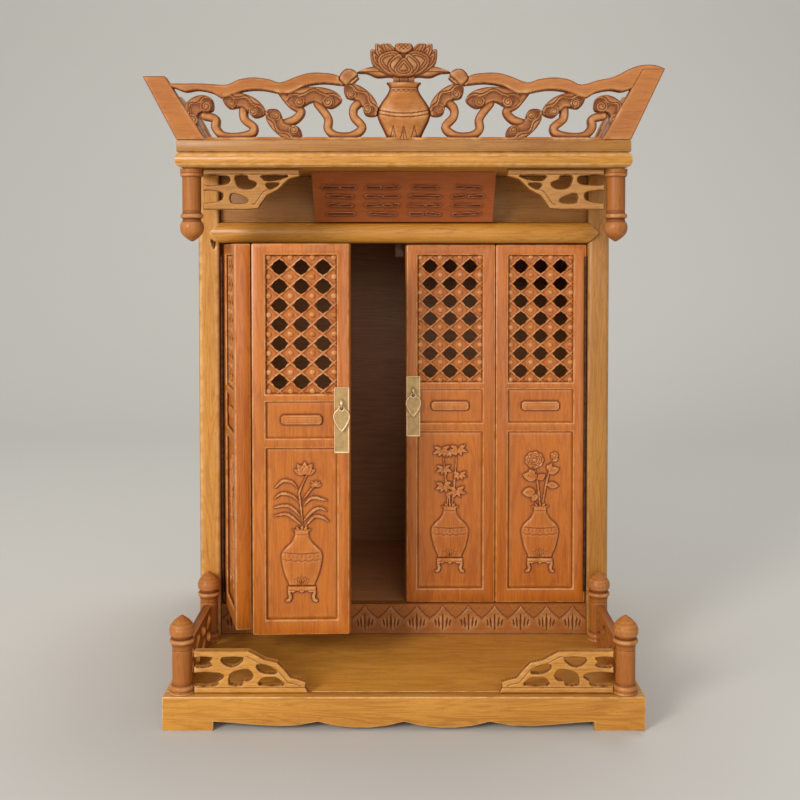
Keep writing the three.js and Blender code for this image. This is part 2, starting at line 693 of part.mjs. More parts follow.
function buildPlaque() {
  const front = FACE_Y - PLAQUE_PROUD;
  const z0 = FRIEZE_Z;
  const z1 = SOFFIT_Z - JOINT_GAP;
  const lean = (z1 - z0) * Math.tan(PLAQUE_LEAN);
  const level = PLAQUE_THICKNESS / Math.cos(PLAQUE_LEAN);
  const section = outline([[front, z0], [front + level, z0], [front + level - lean, z1], [front - lean, z1]]);
  const board = alongX(section, -PLAQUE_WIDTH / 2, PLAQUE_WIDTH / 2);
  const strokes = plaqueStrokes((z1 - z0) / Math.cos(PLAQUE_LEAN));
  for (const stroke of strokes) {
    stroke.rotateX(PLAQUE_LEAN);
    stroke.translate(0, front, z0);
  }
  place('plaque', joined([board, ...strokes]), PLAQUE_WOOD);
}

// Crest: pierced boards with lingzhi scrolls, and a lotus in a vase in the middle of the front one.
// The carving is drawn at the sizes below and stretched to the crest's own.
const DRAWN_TIP_X = 235;
const DRAWN_TIP_HEIGHT = 63.8;
const DRAWN_SIDE_LENGTH = 200;
const CREST_WIDE = CREST_TIP_X / DRAWN_TIP_X;
const CREST_HIGH = TIP_HEIGHT_RIGHT / DRAWN_TIP_HEIGHT;
const SIDE_LONG = CREST_SIDE_LENGTH / DRAWN_SIDE_LENGTH;

// Heads are drawn for the right half: [from the middle, height, width, height of the cap, tilt in degrees].
const FRONT_HEADS = [
  [187, 26.5, 34, 22, -45], [144, 32, 40, 18, 20], [109, 13, 40, 18, -140],
  [81, 37.5, 50, 20, 0], [38, 36.5, 39, 18, 42],
];
const SIDE_HEADS = [
  [50, 31, 36, 19, -35], [85, 31, 36, 19, 35], [124, 31, 36, 19, -35], [160, 31, 36, 19, 35],
];

// Stems run along smooth lines, from one head down to the foot of the board and up to the next.
const FRONT_STEMS = [
  [[180, 22], [170.5, 19], [170, 11], [163, 4], [150, 3], [138, 6], [136, 12], [144, 19], [145, 28]],
  [[110, 43], [102, 33], [93, 26.5], [98, 19], [108, 15]],
  [[78, 33], [68.5, 20], [68.5, 10], [61, 4], [47, 4], [37.6, 11.6], [45, 21], [45, 29], [39, 35]],
];
const SIDE_STEMS = [
  [[52, 28], [46, 14], [54, 5], [67, 3.5], [80, 5], [88, 14], [83, 28]],
  [[126, 28], [120, 14], [128, 5], [142, 3.5], [156, 5], [164, 14], [158, 28]],
];

// The upper and lower edges of the wavy rail over the scrolls.
const RAIL_TOP = [
  [58, 57], [66, 61], [83, 62], [96, 59], [111, 52.5], [122, 54.5], [136, 56], [149, 54],
  [160, 49.5], [175, 53.5], [189, 56.5], [203, 63.5], [214, 67], [226, 67],
];
const RAIL_BOTTOM = [
  [40, 56], [50, 49.5], [72, 51], [89, 48.5], [105, 41.5], [128, 45], [145, 44],
  [163, 38], [173, 42.5], [186, 46], [197, 45], [206, 48.5],
];
const LEFT_LEVEL_FROM = 165;
const LEFT_LEVEL_EDGE = [[181, 50.5], [215, 51]];
const RAIL_KNOB = [49, 59, 20, 16];
const KNOB_TILT = -0.2;

// The wavy rail of a side board, from behind the front board's end.
const SIDE_RAIL_TOP = [[36, 51], [60, 55], [85, 50.5], [116, 56], [146, 50.5], [174, 54.5], [200, 47]];
const SIDE_RAIL_BOTTOM = [[200, 37], [174, 45], [146, 40.5], [116, 46], [85, 40.5], [60, 45], [20, 44]];
const SIDE_RAIL_LEVEL = 12;

function stretched(points, wide) {
  return points.map(([x, z]) => [x * wide, z * CREST_HIGH]);
}

function smoothEdge(points, steps) {
  const line = new THREE.SplineCurve(points.map(([x, z]) => new THREE.Vector2(x, z)));
  return line.getPoints(steps).map((point) => [point.x, point.y]);
}

// The head of a lingzhi: a rounded cap with a curl at each end and a hollow for the stem.
const HEAD_OUTLINE = [
  [-1, -0.2], [-0.8, 0.55], [-0.3, 0.97], [0.3, 0.97], [0.8, 0.55], [1, -0.2],
  [0.6, -0.9], [0.12, -0.35], [-0.12, -0.35], [-0.6, -0.9],
];

function headOutline(x, z, width, height, degrees) {
  const tilt = THREE.MathUtils.degToRad(degrees);
  return outline(HEAD_OUTLINE.map(([u, v]) => {
    const across = u * width / 2;
    const up = v * height / 2;
    return [
      x + across * Math.cos(tilt) - up * Math.sin(tilt),
      z + across * Math.sin(tilt) + up * Math.cos(tilt),
    ];
  }));
}

// The flat outlines of the heads and of the stems, stretched along the board by wide.
function scrollShapes(heads, stems, wide) {
  return {
    heads: heads.map(([x, z, width, height, tilt]) => (
      headOutline(x * wide, z * CREST_HIGH, width * wide, height * CREST_HIGH, tilt)
    )),
    stems: stems.map((points) => ribbon(stretched(points, wide), STEM_WIDTH, 9)),
  };
}

function frontScrolls(front) {
  const middle = front + CREST_THICKNESS / 2;
  const { heads, stems } = scrollShapes(FRONT_HEADS, FRONT_STEMS, CREST_WIDE);
  return [
    ...heads.map((shape) => frontPanel(shape, HEAD_THICKNESS, middle - HEAD_THICKNESS / 2)),
    ...stems.map((shape) => frontPanel(shape, SCROLL_THICKNESS, middle - SCROLL_THICKNESS / 2)),
  ];
}

function crestRail(tipHeight, front) {
  const level = tipHeight < TIP_HEIGHT_RIGHT;
  const kept = level ? RAIL_TOP.filter(([x]) => x < LEFT_LEVEL_FROM) : RAIL_TOP;
  const top = smoothEdge(stretched(kept, CREST_WIDE), level ? 12 : 16);
  if (level) {
    top.push(...stretched(LEFT_LEVEL_EDGE, CREST_WIDE));
  } else {
    top.push([CREST_TIP_X, tipHeight]);
  }
  const low = smoothEdge(stretched(RAIL_BOTTOM, CREST_WIDE), 13).reverse();
  const rail = frontPanel(outline([...top, ...low]), CREST_THICKNESS, front);
  const stile = frontPanel(outline([
    [CREST_FOOT_X - CREST_STILE_FOOT, 0], [CREST_FOOT_X, 0],
    [CREST_TIP_X, tipHeight], [CREST_TIP_X - CREST_STILE_TOP, tipHeight],
  ]), CREST_THICKNESS, front);
  const [x, width] = [RAIL_KNOB[0] * CREST_WIDE, RAIL_KNOB[2] * CREST_WIDE];
  const [z, height] = [RAIL_KNOB[1] * CREST_HIGH, RAIL_KNOB[3] * CREST_HIGH];
  const round = openingPath(x, z, width, height, KNOB_TILT, 10);
  const knob = frontPanel(new THREE.Shape(round.getPoints()), CREST_THICKNESS, front);
  return [rail, stile, knob];
}

function vaseProfile() {
  const high = VASE_HEIGHT;
  const wide = VASE_RADIUS;
  return [
    [0, 0], [wide * 0.62, 0], [wide * 0.78, high * 0.2], [wide, high * 0.49], [wide * 0.86, high * 0.65],
    [wide * 0.56, high * 0.85], [wide * 0.56, high * 0.92], [wide * 0.66, high], [0, high],
  ];
}

// Two rows of petals: [count, spread in radians, length and width as shares of the vase's height, proud by].
const LOTUS_ROWS = [[7, 1.35, 0.7, 0.29, 0], [4, 0.75, 0.56, 0.27, 2]];

function lotus(front) {
  const pieces = [];
  const root = VASE_HEIGHT * 0.96;
  for (const [count, spread, length, width, proud] of LOTUS_ROWS) {
    for (let i = 0; i < count; i += 1) {
      const share = i / (count - 1) * 2 - 1;
      const reach = VASE_HEIGHT * length * (1 - 0.12 * share * share);
      const shape = petal(0, root, reach, VASE_HEIGHT * width, share * spread);
      pieces.push(frontPanel(shape, CREST_THICKNESS, front - proud));
    }
  }
  const leafX = VASE_HEIGHT * 0.115;
  for (const side of [-1, 1]) {
    const leaf = petal(side * leafX, root + leafX, VASE_HEIGHT * 0.73, VASE_HEIGHT * 0.17, side * 1.5);
    pieces.push(frontPanel(leaf, SCROLL_THICKNESS, front + CREST_THICKNESS / 6));
  }
  return pieces;
}

function buildCrestFront() {
  const front = CREST_FRONT_Y;
  const right = [...frontScrolls(front), ...crestRail(TIP_HEIGHT_RIGHT, front)];
  const left = [...frontScrolls(front), ...crestRail(TIP_HEIGHT_LEFT, front)].map(mirroredX);
  const footX = CREST_FOOT_X - 1;
  const foot = block(-footX, footX, front + 1, front + CREST_THICKNESS, 0, CREST_FILLET);
  const vase = turned(vaseProfile(), 8);
  vase.scale(1, VASE_FLATNESS, 1);
  vase.translate(0, front + CREST_THICKNESS / 2, 0);
  const below = block(-CREST_TIP_X, CREST_TIP_X, front - VASE_RADIUS, front + VASE_RADIUS, -VASE_RADIUS, 0);
  const whole = cut(joined([foot, ...right, ...left, vase, ...lotus(front)]), [below]);
  whole.translate(0, 0, CREST_Z);
  place('crest_front', whole, CARVED_WOOD);
}

// A side board is drawn along its length and then leans out to follow the end of the front board.
function buildCrestSide(word, side, tipHeight) {
  const long = CREST_SIDE_LENGTH;
  const end = long - SIDE_END_WIDTH;
  const post = SIDE_STILE_WIDTH;
  const wave = smoothEdge([[SIDE_RAIL_LEVEL, tipHeight], ...stretched(SIDE_RAIL_TOP, SIDE_LONG)], 13);
  const low = smoothEdge(stretched(SIDE_RAIL_BOTTOM, SIDE_LONG), 10);
  const { heads, stems } = scrollShapes(SIDE_HEADS, SIDE_STEMS, SIDE_LONG);
  const under = 40 * CREST_HIGH;
  const full = [
    outline([[0, tipHeight], ...wave, ...low]),
    outline([[0, 0], [post, 0], [post, under * 1.175], [0, tipHeight]]),
    outline([[end, 0], [long, 0], [long, under], [end, under * 1.05]]),
    outline([[0, 0], [long, 0], [long, CREST_FILLET], [0, CREST_FILLET]]),
    ...heads,
  ];
  const pieces = full.map((shape) => thick(shape, CREST_SIDE_THICKNESS));
  for (const shape of stems) {
    const stem = thick(shape, SCROLL_THICKNESS);
    stem.translate(0, 0, (CREST_SIDE_THICKNESS - SCROLL_THICKNESS) / 2);
    pieces.push(stem);
  }
  const lean = (CREST_TIP_X - CREST_FOOT_X) / tipHeight;
  const start = CREST_FRONT_Y + CREST_THICKNESS + JOINT_GAP;
  const toPlace = new THREE.Matrix4().set(
    0, lean, 1, CREST_FOOT_X - CREST_SIDE_THICKNESS,
    1, 0, 0, start,
    0, 1, 0, CREST_Z,
    0, 0, 0, 1,
  );
  const board = joined(pieces);
  board.applyMatrix4(toPlace);
  place(`crest_${word}`, onSide(board, side), CARVED_WOOD);
}

// Door leaves. A leaf is drawn from its lower left corner as seen from the front, its face at Y = 0.

function leafFrame(meetingSide) {
  const x0 = LEAF_STILE;
  const x1 = LEAF_WIDTH - LEAF_STILE;
  const tools = [];
  const openings = [[LOWER_Z, LOWER_HEIGHT], [MIDDLE_Z, MIDDLE_HEIGHT], [LATTICE_Z, LATTICE_HEIGHT]];
  for (const [z, height] of openings) {
    tools.push(block(x0, x1, -1, LEAF_THICKNESS + 1, z, z + height));
    tools.push(block(
      x0 - GROOVE_DEPTH - JOINT_GAP, x1 + GROOVE_DEPTH + JOINT_GAP,
      PANEL_SETBACK - JOINT_GAP, PANEL_SETBACK + PANEL_THICKNESS + JOINT_GAP,
      z - GROOVE_DEPTH - JOINT_GAP, z + height + GROOVE_DEPTH + JOINT_GAP,
    ));
  }
  if (meetingSide) {
    const edge = meetingSide > 0 ? LEAF_WIDTH : 0;
    const bevel = outline([
      [edge, -1], [edge + meetingSide, -1], [edge + meetingSide, MEETING_BEVEL_DEPTH],
      [edge, MEETING_BEVEL_DEPTH], [edge - meetingSide * MEETING_BEVEL_WIDTH, 0],
      [edge - meetingSide * MEETING_BEVEL_WIDTH, -1],
    ]);
    tools.push(alongZ(bevel, -1, LEAF_HEIGHT + 1));
  }
  return cut(block(0, LEAF_WIDTH, 0, LEAF_THICKNESS, 0, LEAF_HEIGHT), tools);
}

function panelBoard(z, height) {
  return outline([
    [LEAF_STILE - GROOVE_DEPTH, z - GROOVE_DEPTH], [LEAF_WIDTH - LEAF_STILE + GROOVE_DEPTH, z - GROOVE_DEPTH],
    [LEAF_WIDTH - LEAF_STILE + GROOVE_DEPTH, z + height + GROOVE_DEPTH],
    [LEAF_STILE - GROOVE_DEPTH, z + height + GROOVE_DEPTH],
  ]);
}

// A lattice of six-sided holes, pointed left and right.
function latticeShape() {
  const shape = panelBoard(LATTICE_Z, LATTICE_HEIGHT);
  const stepX = LEAF_OPENING / (LATTICE_COLUMNS + LATTICE_MARGIN);
  const stepZ = LATTICE_HEIGHT / (LATTICE_ROWS + LATTICE_MARGIN);
  for (let column = 0; column < LATTICE_COLUMNS; column += 1) {
    for (let row = 0; row < LATTICE_ROWS; row += 1) {
      const x = LEAF_WIDTH / 2 + (column - (LATTICE_COLUMNS - 1) / 2) * stepX;
      const z = LATTICE_Z + LATTICE_HEIGHT / 2 + (row - (LATTICE_ROWS - 1) / 2) * stepZ;
      const u = HOLE_WIDTH / 2;
      const v = HOLE_HEIGHT / 2;
      const corners = [[u, 0], [u * 0.5, v], [-u * 0.5, v], [-u, 0], [-u * 0.5, -v], [u * 0.5, -v]];
      shape.holes.push(new THREE.Path(corners.map(([a, b]) => new THREE.Vector2(x + a, z + b))));
    }
  }
  return shape;
}

function middlePanel() {
  const x0 = (LEAF_WIDTH - TABLET_WIDTH) / 2;
  const middle = MIDDLE_Z + MIDDLE_HEIGHT * 0.5;
  const board = frontPanel(panelBoard(MIDDLE_Z, MIDDLE_HEIGHT), PANEL_THICKNESS, PANEL_SETBACK);
  const x1 = x0 + TABLET_WIDTH;
  const low = middle - TABLET_HEIGHT / 2;
  const high = middle + TABLET_HEIGHT / 2;
  const clip = TABLET_CHAMFER;
  const tablet = outline([
    [x0, low + clip], [x0 + clip, low], [x1 - clip, low], [x1, low + clip],
    [x1, high - clip], [x1 - clip, high], [x0 + clip, high], [x0, high - clip],
  ]);
  return joined([board, frontPanel(tablet, RELIEF + 1, PANEL_SETBACK - RELIEF)]);
}

// The carving of the lower panels is drawn for a panel of this size, from its lower middle.
// It is stretched with the panel.
const DRAWN_PANEL_HEIGHT = 158;
const DRAWN_PANEL_WIDTH = 65;

// The vase: half outline as [half width, height above its stand].
const VASE_HALF = [[11.3, 0], [15.5, 12], [19, 28], [16.5, 34], [10, 41], [7, 46], [8.2, 51.5]];

function vaseRelief(x, z) {
  const right = VASE_HALF.map(([half, up]) => [x + half, z + up]);
  const left = VASE_HALF.map(([half, up]) => [x - half, z + up]).reverse();
  return outline([...right, ...left]);
}

function standRelief(x, z, height) {
  return outline([
    [x - 13, z], [x - 10.5, z], [x - 9.5, z + height * 0.55], [x, z + height * 0.35],
    [x + 9.5, z + height * 0.55], [x + 10.5, z], [x + 13, z], [x + 13, z + height], [x - 13, z + height],
  ]);
}

function blossom(x, z, radius, sides) {
  return new THREE.Shape(openingPath(x, z, 2 * radius, 1.8 * radius, 0, sides).getPoints());
}

// Bouquets: each gives the outlines that rise from the mouth of the vase.
function lotusBouquet(x, z) {
  const shapes = [
    ribbon([[x, z], [x - 2, z + 20], [x + 4, z + 46]], 1.8, 5), blossom(x + 2, z + 54, 9.5, 10),
    ribbon([[x, z + 14], [x + 6, z + 32], [x + 10, z + 37]], 1.5, 4), blossom(x + 12, z + 40, 4, 7),
  ];
  for (let i = 0; i < 4; i += 1) {
    const up = 2 + i * 8.5;
    shapes.push(ribbon([[x, z + up], [x - 11, z + up + 11], [x - 25, z + up + 7]], 3, 4));
    if (i < 3) {
      shapes.push(ribbon([[x + 1, z + up], [x + 11, z + up + 11], [x + 24, z + up + 6]], 3, 4));
    }
  }
  return shapes;
}

function leafyBouquet(x, z, blossoms, stems, leaves) {
  const shapes = stems.map((points) => ribbon(points.map(([u, v]) => [x + u, z + v]), 1.8, 4));
  for (const [u, v, radius] of blossoms) {
    shapes.push(blossom(x + u, z + v, radius, 9));
  }
  for (const [u, v, length, width, angle] of leaves) {
    shapes.push(petal(x + u, z + v, length, width, angle));
  }
  return shapes;
}

const BAMBOO = [
  [],
  [[[-2, -1], [-4, 18], [-7, 34], [-8, 52]], [[2, -1], [5, 30], [5.5, 54]]],
  [
    [-8, 52, 11, 5, -1.2], [-8, 54, 12, 5, 1.3], [-7, 52, 12, 4.5, -2.4], [6, 52, 12, 5, 1.0],
    [6, 53, 10, 5, -1.0], [-4, 34, 13, 4.5, -1.9], [5, 30, 12, 4.5, 1.1], [5, 16, 13, 4, 2.1],
    [-3, 16, 14, 4, -2.0], [-3, 20, 12, 4, -1.0],
  ],
];
const PEONY = [
  [[-5, 53, 10], [16, 56, 4]],
  [[[0, -1], [-3, 24], [-5, 45]], [[2, -1], [8, 26], [10, 40], [15, 54]]],
  [
    [-4, 34, 16, 10, -1.5], [-5, 18, 16, 11, -1.9], [-2, 34, 13, 8, 0.8],
    [9, 34, 13, 9, 1.1], [8, 24, 14, 7, 1.9],
  ],
];
const PLUM = [
  [[-9, 50, 6], [5, 56, 6.5], [13, 38, 5.5], [-13, 30, 5.5]],
  [[[0, -1], [-4, 18], [2, 34], [5, 52]], [[-3, 16], [-9, 24], [-9, 48]], [[1, 28], [8, 32], [13, 38]]],
  [[-4, 14, 12, 6, -1.4], [1, 22, 12, 6, 1.2]],
];

function lowerPanel(bouquet) {
  const vaseZ = STAND_RISE + STAND_HEIGHT + VASE_REST_GAP;
  const mouth = vaseZ + VASE_HALF.at(-1)[1];
  const board = frontPanel(panelBoard(LOWER_Z, LOWER_HEIGHT), PANEL_THICKNESS, PANEL_SETBACK);
  const shapes = [vaseRelief(0, vaseZ), standRelief(0, STAND_RISE, STAND_HEIGHT), ...bouquet(0, mouth)];
  const relief = shapes.map((shape) => {
    const form = frontPanel(shape, RELIEF + 1, PANEL_SETBACK - RELIEF);
    form.scale(LEAF_OPENING / DRAWN_PANEL_WIDTH, 1, LOWER_HEIGHT / DRAWN_PANEL_HEIGHT);
    form.translate(LEAF_WIDTH / 2, 0, LOWER_Z);
    return form;
  });
  return joined([board, ...relief]);
}

function buildLeaf(word, parent, meetingSide, bouquet) {
  place(`leaf_frame_${word}`, leafFrame(meetingSide), DOOR_WOOD, parent);
  const lattice = frontPanel(latticeShape(), PANEL_THICKNESS, PANEL_SETBACK);
  place(`leaf_lattice_${word}`, lattice, DOOR_WOOD, parent);
  place(`leaf_middle_${word}`, middlePanel(), DOOR_WOOD, parent);
  place(`leaf_lower_${word}`, lowerPanel(bouquet), DOOR_WOOD, parent);
}

// Latch plate with its eye, and the drop pull that hangs from it.

function plateWithEye() {
  const plate = block(
    -PLATE_WIDTH / 2, PLATE_WIDTH / 2, -PLATE_THICKNESS, 0, -PLATE_HEIGHT / 2, PLATE_HEIGHT / 2,
  );
  const points = [];
  const steps = 8;
  for (let i = 0; i <= steps; i += 1) {
    const angle = (i / steps - 0.5) * EYE_TURN;
    points.push(new THREE.Vector3(0, -EYE_RADIUS * Math.cos(angle), EYE_RADIUS * Math.sin(angle)));
  }
  const section = new THREE.Shape();
  section.absarc(0, 0, EYE_WIRE_RADIUS, 0, 2 * Math.PI);
  const eye = new THREE.ExtrudeGeometry(section, {
    extrudePath: new THREE.CatmullRomCurve3(points),
    steps,
    curveSegments: 3,
    bevelEnabled: false,
  });
  eye.translate(0, -PLATE_THICKNESS, EYE_RISE);
  return joined([plate, eye]);
}

// The swing axis of the pull crosses the lower half of the eye, where the wire runs through the hole.
const PULL_AXIS_Y = -PLATE_THICKNESS - EYE_RADIUS * Math.cos(EYE_HANG);
const PULL_AXIS_Z = EYE_RISE - EYE_RADIUS * Math.sin(EYE_HANG);

function pull() {
  const half = PULL_WIDTH / 2;
  const long = PULL_LENGTH;
  const crown = PULL_HOLE_RADIUS + PULL_CROWN;
  const shape = new THREE.Shape();
  shape.moveTo(0, crown);
  shape.bezierCurveTo(crown, crown, crown, 0, crown * 0.9, -crown * 0.5);
  shape.bezierCurveTo(half, -long * 0.16, half * 1.3, -long * 0.45, 0, -long + crown);
  shape.bezierCurveTo(-half * 1.3, -long * 0.45, -half, -long * 0.16, -crown * 0.9, -crown * 0.5);
  shape.bezierCurveTo(-crown, 0, -crown, crown, 0, crown);
  const hole = new THREE.Path();
  hole.absarc(0, 0, PULL_HOLE_RADIUS, 0, 2 * Math.PI);
  shape.holes.push(hole);
  return frontPanel(shape, PULL_THICKNESS, -PULL_THICKNESS / 2, 5);
}

function buildLatch(word, parent, x) {
  const z = PLATE_CENTRE_Z;
  const plate = place(`latch_plate_${word}`, plateWithEye(), BRASS, parent);
  plate.position.set(x, -JOINT_GAP, z);
  const drop = place(`pull_${word}`, pull(), BRASS, parent);
  drop.position.set(x, PULL_AXIS_Y - JOINT_GAP, z + PULL_AXIS_Z);
}

function barrel(z0, z1) {
  const geometry = new THREE.CylinderGeometry(HINGE_RADIUS, HINGE_RADIUS, z1 - z0, 10);
  geometry.rotateX(Math.PI / 2);
  geometry.translate(0, 0, (z0 + z1) / 2);
  return geometry;
}

// A pair: the outer leaf turns about the jamb, the inner one about the fold at the outer leaf's far edge.
function buildPair(word, side, open, fold, outerBouquet, innerBouquet) {
  const jamb = new THREE.Group();
  jamb.position.set(side * JAMB_X, JAMB_Y, LEAF_Z);
  jamb.rotation.z = side * open;
  cabinet.add(jamb);
  const outer = new THREE.Group();
  const outerLeft = side > 0 ? CENTRE_GAP / 2 + LEAF_WIDTH + FOLD_GAP : -DOORWAY_HALF + JAMB_GAP;
  outer.position.set(outerLeft - side * JAMB_X, FACE_Y - JAMB_Y, 0);
  jamb.add(outer);

  const hinge = new THREE.Group();
  hinge.position.set(side * (FOLD_X - JAMB_X), FOLD_Y - JAMB_Y, 0);
  hinge.rotation.z = -side * fold;
  jamb.add(hinge);
  const inner = new THREE.Group();
  const innerLeft = side > 0 ? CENTRE_GAP / 2 : -CENTRE_GAP / 2 - LEAF_WIDTH;
  inner.position.set(innerLeft - side * FOLD_X, FACE_Y - FOLD_Y, 0);
  hinge.add(inner);

  buildLeaf(`${word}_outer`, outer, 0, outerBouquet);
  buildLeaf(`${word}_inner`, inner, -side, innerBouquet);
  const plateX = PLATE_WIDTH / 2 + MEETING_BEVEL_WIDTH;
  buildLatch(word, inner, side > 0 ? plateX : LEAF_WIDTH - plateX);

  place(`jamb_hinge_${word}`, barrel(HINGE_MARGIN, LEAF_HEIGHT - HINGE_MARGIN), DARK_METAL, jamb);
  place(`fold_hinge_${word}`, barrel(HINGE_MARGIN, LEAF_HEIGHT - HINGE_MARGIN), DARK_METAL, hinge);
}

// A bent strip behind the top rail that holds the closed leaves.
function buildCatch() {
  const railBack = FACE_Y - TOP_RAIL_PROUD + TOP_RAIL_DEPTH + JOINT_GAP;
  const behind = FACE_Y + LEAF_THICKNESS + CATCH_THICKNESS;
  const low = LEAF_Z + LEAF_HEIGHT - CATCH_DROP;
  const bend = RAIL_Z + CATCH_BEND_RISE;
  const section = outline([
    [railBack, bend - CATCH_THICKNESS], [behind, bend - CATCH_THICKNESS], [behind, low],
    [behind + CATCH_THICKNESS, low], [behind + CATCH_THICKNESS, bend], [railBack + CATCH_THICKNESS, bend],
    [railBack + CATCH_THICKNESS, low + CATCH_HEIGHT], [railBack, low + CATCH_HEIGHT],
  ]);
  place('door_catch', alongX(section, -CATCH_WIDTH - CATCH_SIDE_GAP, -CATCH_SIDE_GAP), DARK_METAL);
}

buildBase();
buildPosts();
buildPorchRails();
buildBody();
buildRoof();
buildUnderCornice();
buildPlaque();
buildCrestFront();
buildCrestSide('left', -1, TIP_HEIGHT_LEFT);
buildCrestSide('right', 1, TIP_HEIGHT_RIGHT);
const plum = (x, z) => leafyBouquet(x, z, ...PLUM);
const bamboo = (x, z) => leafyBouquet(x, z, ...BAMBOO);
const peony = (x, z) => leafyBouquet(x, z, ...PEONY);
buildPair('left', -1, LEFT_OUTER_OPEN, LEFT_INNER_FOLD, plum, lotusBouquet);
buildPair('right', 1, 0, 0, peony, bamboo);
buildCatch();

export default cabinet;
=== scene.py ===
# %% [markdown]
# # A carved household altar cabinet
# The cabinet is a small shrine of varnished wood: a scalloped base with a railed porch, a body with four
# folding leaves, a cornice with hanging posts, a leaning plaque and a pierced crest on top.
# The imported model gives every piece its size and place. Here each piece gets its carving and its finish.
# Lengths are in millimetres until a mesh is made, because that is how a carver would measure them.

# %% Load the frame
import json
import math

import bmesh
import bpy
import numpy as np
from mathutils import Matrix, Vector
from mathutils.geometry import delaunay_2d_cdt


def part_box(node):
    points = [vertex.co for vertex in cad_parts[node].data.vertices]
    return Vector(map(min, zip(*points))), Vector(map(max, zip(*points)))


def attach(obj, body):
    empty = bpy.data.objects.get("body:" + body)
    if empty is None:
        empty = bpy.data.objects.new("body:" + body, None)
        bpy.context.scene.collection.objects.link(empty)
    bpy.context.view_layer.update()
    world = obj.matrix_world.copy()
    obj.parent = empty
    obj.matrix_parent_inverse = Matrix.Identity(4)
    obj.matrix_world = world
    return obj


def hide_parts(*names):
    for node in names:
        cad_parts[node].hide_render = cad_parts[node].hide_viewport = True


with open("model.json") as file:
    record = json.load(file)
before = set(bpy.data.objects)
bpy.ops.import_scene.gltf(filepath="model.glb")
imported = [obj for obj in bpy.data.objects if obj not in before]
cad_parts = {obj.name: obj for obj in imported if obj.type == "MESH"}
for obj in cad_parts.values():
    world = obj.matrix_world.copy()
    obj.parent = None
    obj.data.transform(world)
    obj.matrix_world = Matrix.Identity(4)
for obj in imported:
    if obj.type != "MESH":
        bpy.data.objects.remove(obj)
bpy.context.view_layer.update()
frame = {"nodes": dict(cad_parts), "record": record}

MM = 0.001
BEHAVIOUR = frame["record"]["behaviour"]
JOINT_PLACES = {joint["name"]: np.array(joint["pos_m"]) / MM for joint in BEHAVIOUR["joints"]}


def lowest(node):
    return np.round(np.array(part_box(node)[0]) / MM, 4)


def highest(node):
    return np.round(np.array(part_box(node)[1]) / MM, 4)


# %% [markdown]
# The photograph was taken from straight ahead, a little above the middle, and looks down by about two
# degrees. The frame of the picture lies low on the camera's axis, which is what the small shift says.
# A pale floor and three soft lights stand in for a studio: the key comes from the left and above.

# %% Camera
PICTURE_SIZE = 800
FOCAL_PIXELS = 1142.3
AXIS_PIXEL = (403.8, 292.4)
CAMERA_PLACE = (0.0, -1.1866, 0.408)
CAMERA_PITCH = math.radians(1.81)
SENSOR = 36.0

view_camera = bpy.data.cameras.new("view_camera")
view_camera.sensor_width = SENSOR
view_camera.lens = FOCAL_PIXELS / PICTURE_SIZE * SENSOR
view_camera.shift_x = (PICTURE_SIZE / 2 - AXIS_PIXEL[0]) / PICTURE_SIZE
view_camera.shift_y = (AXIS_PIXEL[1] - PICTURE_SIZE / 2) / PICTURE_SIZE
camera_object = bpy.data.objects.new("view_camera", view_camera)
camera_object.location = CAMERA_PLACE
camera_object.rotation_euler = (math.pi / 2 - CAMERA_PITCH, 0, 0)
bpy.context.scene.collection.objects.link(camera_object)
bpy.context.scene.camera = camera_object
print("camera lens", round(view_camera.lens, 2))

# %% Floor and lights
SWEEP_NEAR, SWEEP_FAR, SWEEP_HALF, SWEEP_TALL, SWEEP_ROUND, SWEEP_STEPS = 3.5, 2.6, 6.0, 5.0, 1.2, 16
FLOOR_COLOUR = (0.52, 0.51, 0.485, 1)
WORLD_COLOUR = (0.52, 0.515, 0.495, 1)
WORLD_STRENGTH = 1.05


def soft_light(name, place, target, size, power, colour):
    lamp = bpy.data.lights.new(name, "AREA")
    lamp.shape = "DISK"
    lamp.size = size
    lamp.energy = power
    lamp.color = colour
    light = bpy.data.objects.new(name, lamp)
    light.location = place
    towards = Vector(target) - Vector(place)
    light.rotation_euler = towards.to_track_quat("-Z", "Y").to_euler()
    bpy.context.scene.collection.objects.link(light)


def plain_floor():
    """A pale floor that sweeps up into a wall behind, so that no edge shows."""
    line = [(-SWEEP_NEAR, 0.0), (SWEEP_FAR - SWEEP_ROUND, 0.0)]
    for step in range(1, SWEEP_STEPS + 1):
        angle = math.pi / 2 * step / SWEEP_STEPS
        line.append((
            SWEEP_FAR - SWEEP_ROUND * (1 - math.sin(angle)), SWEEP_ROUND * (1 - math.cos(angle)),
        ))
    line.append((SWEEP_FAR, SWEEP_TALL))
    points = [(x, y, z) for y, z in line for x in (-SWEEP_HALF, SWEEP_HALF)]
    faces = [(2 * i, 2 * i + 1, 2 * i + 3, 2 * i + 2) for i in range(len(line) - 1)]
    mesh = bpy.data.meshes.new("floor")
    mesh.from_pydata(points, [], faces)
    mesh.shade_smooth()
    material = bpy.data.materials.new("floor_paint")
    material.use_nodes = True
    shader = material.node_tree.nodes["Principled BSDF"]
    shader.inputs["Base Color"].default_value = FLOOR_COLOUR
    shader.inputs["Roughness"].default_value = 0.7
    mesh.materials.append(material)
    floor = bpy.data.objects.new("floor", mesh)
    bpy.context.scene.collection.objects.link(floor)


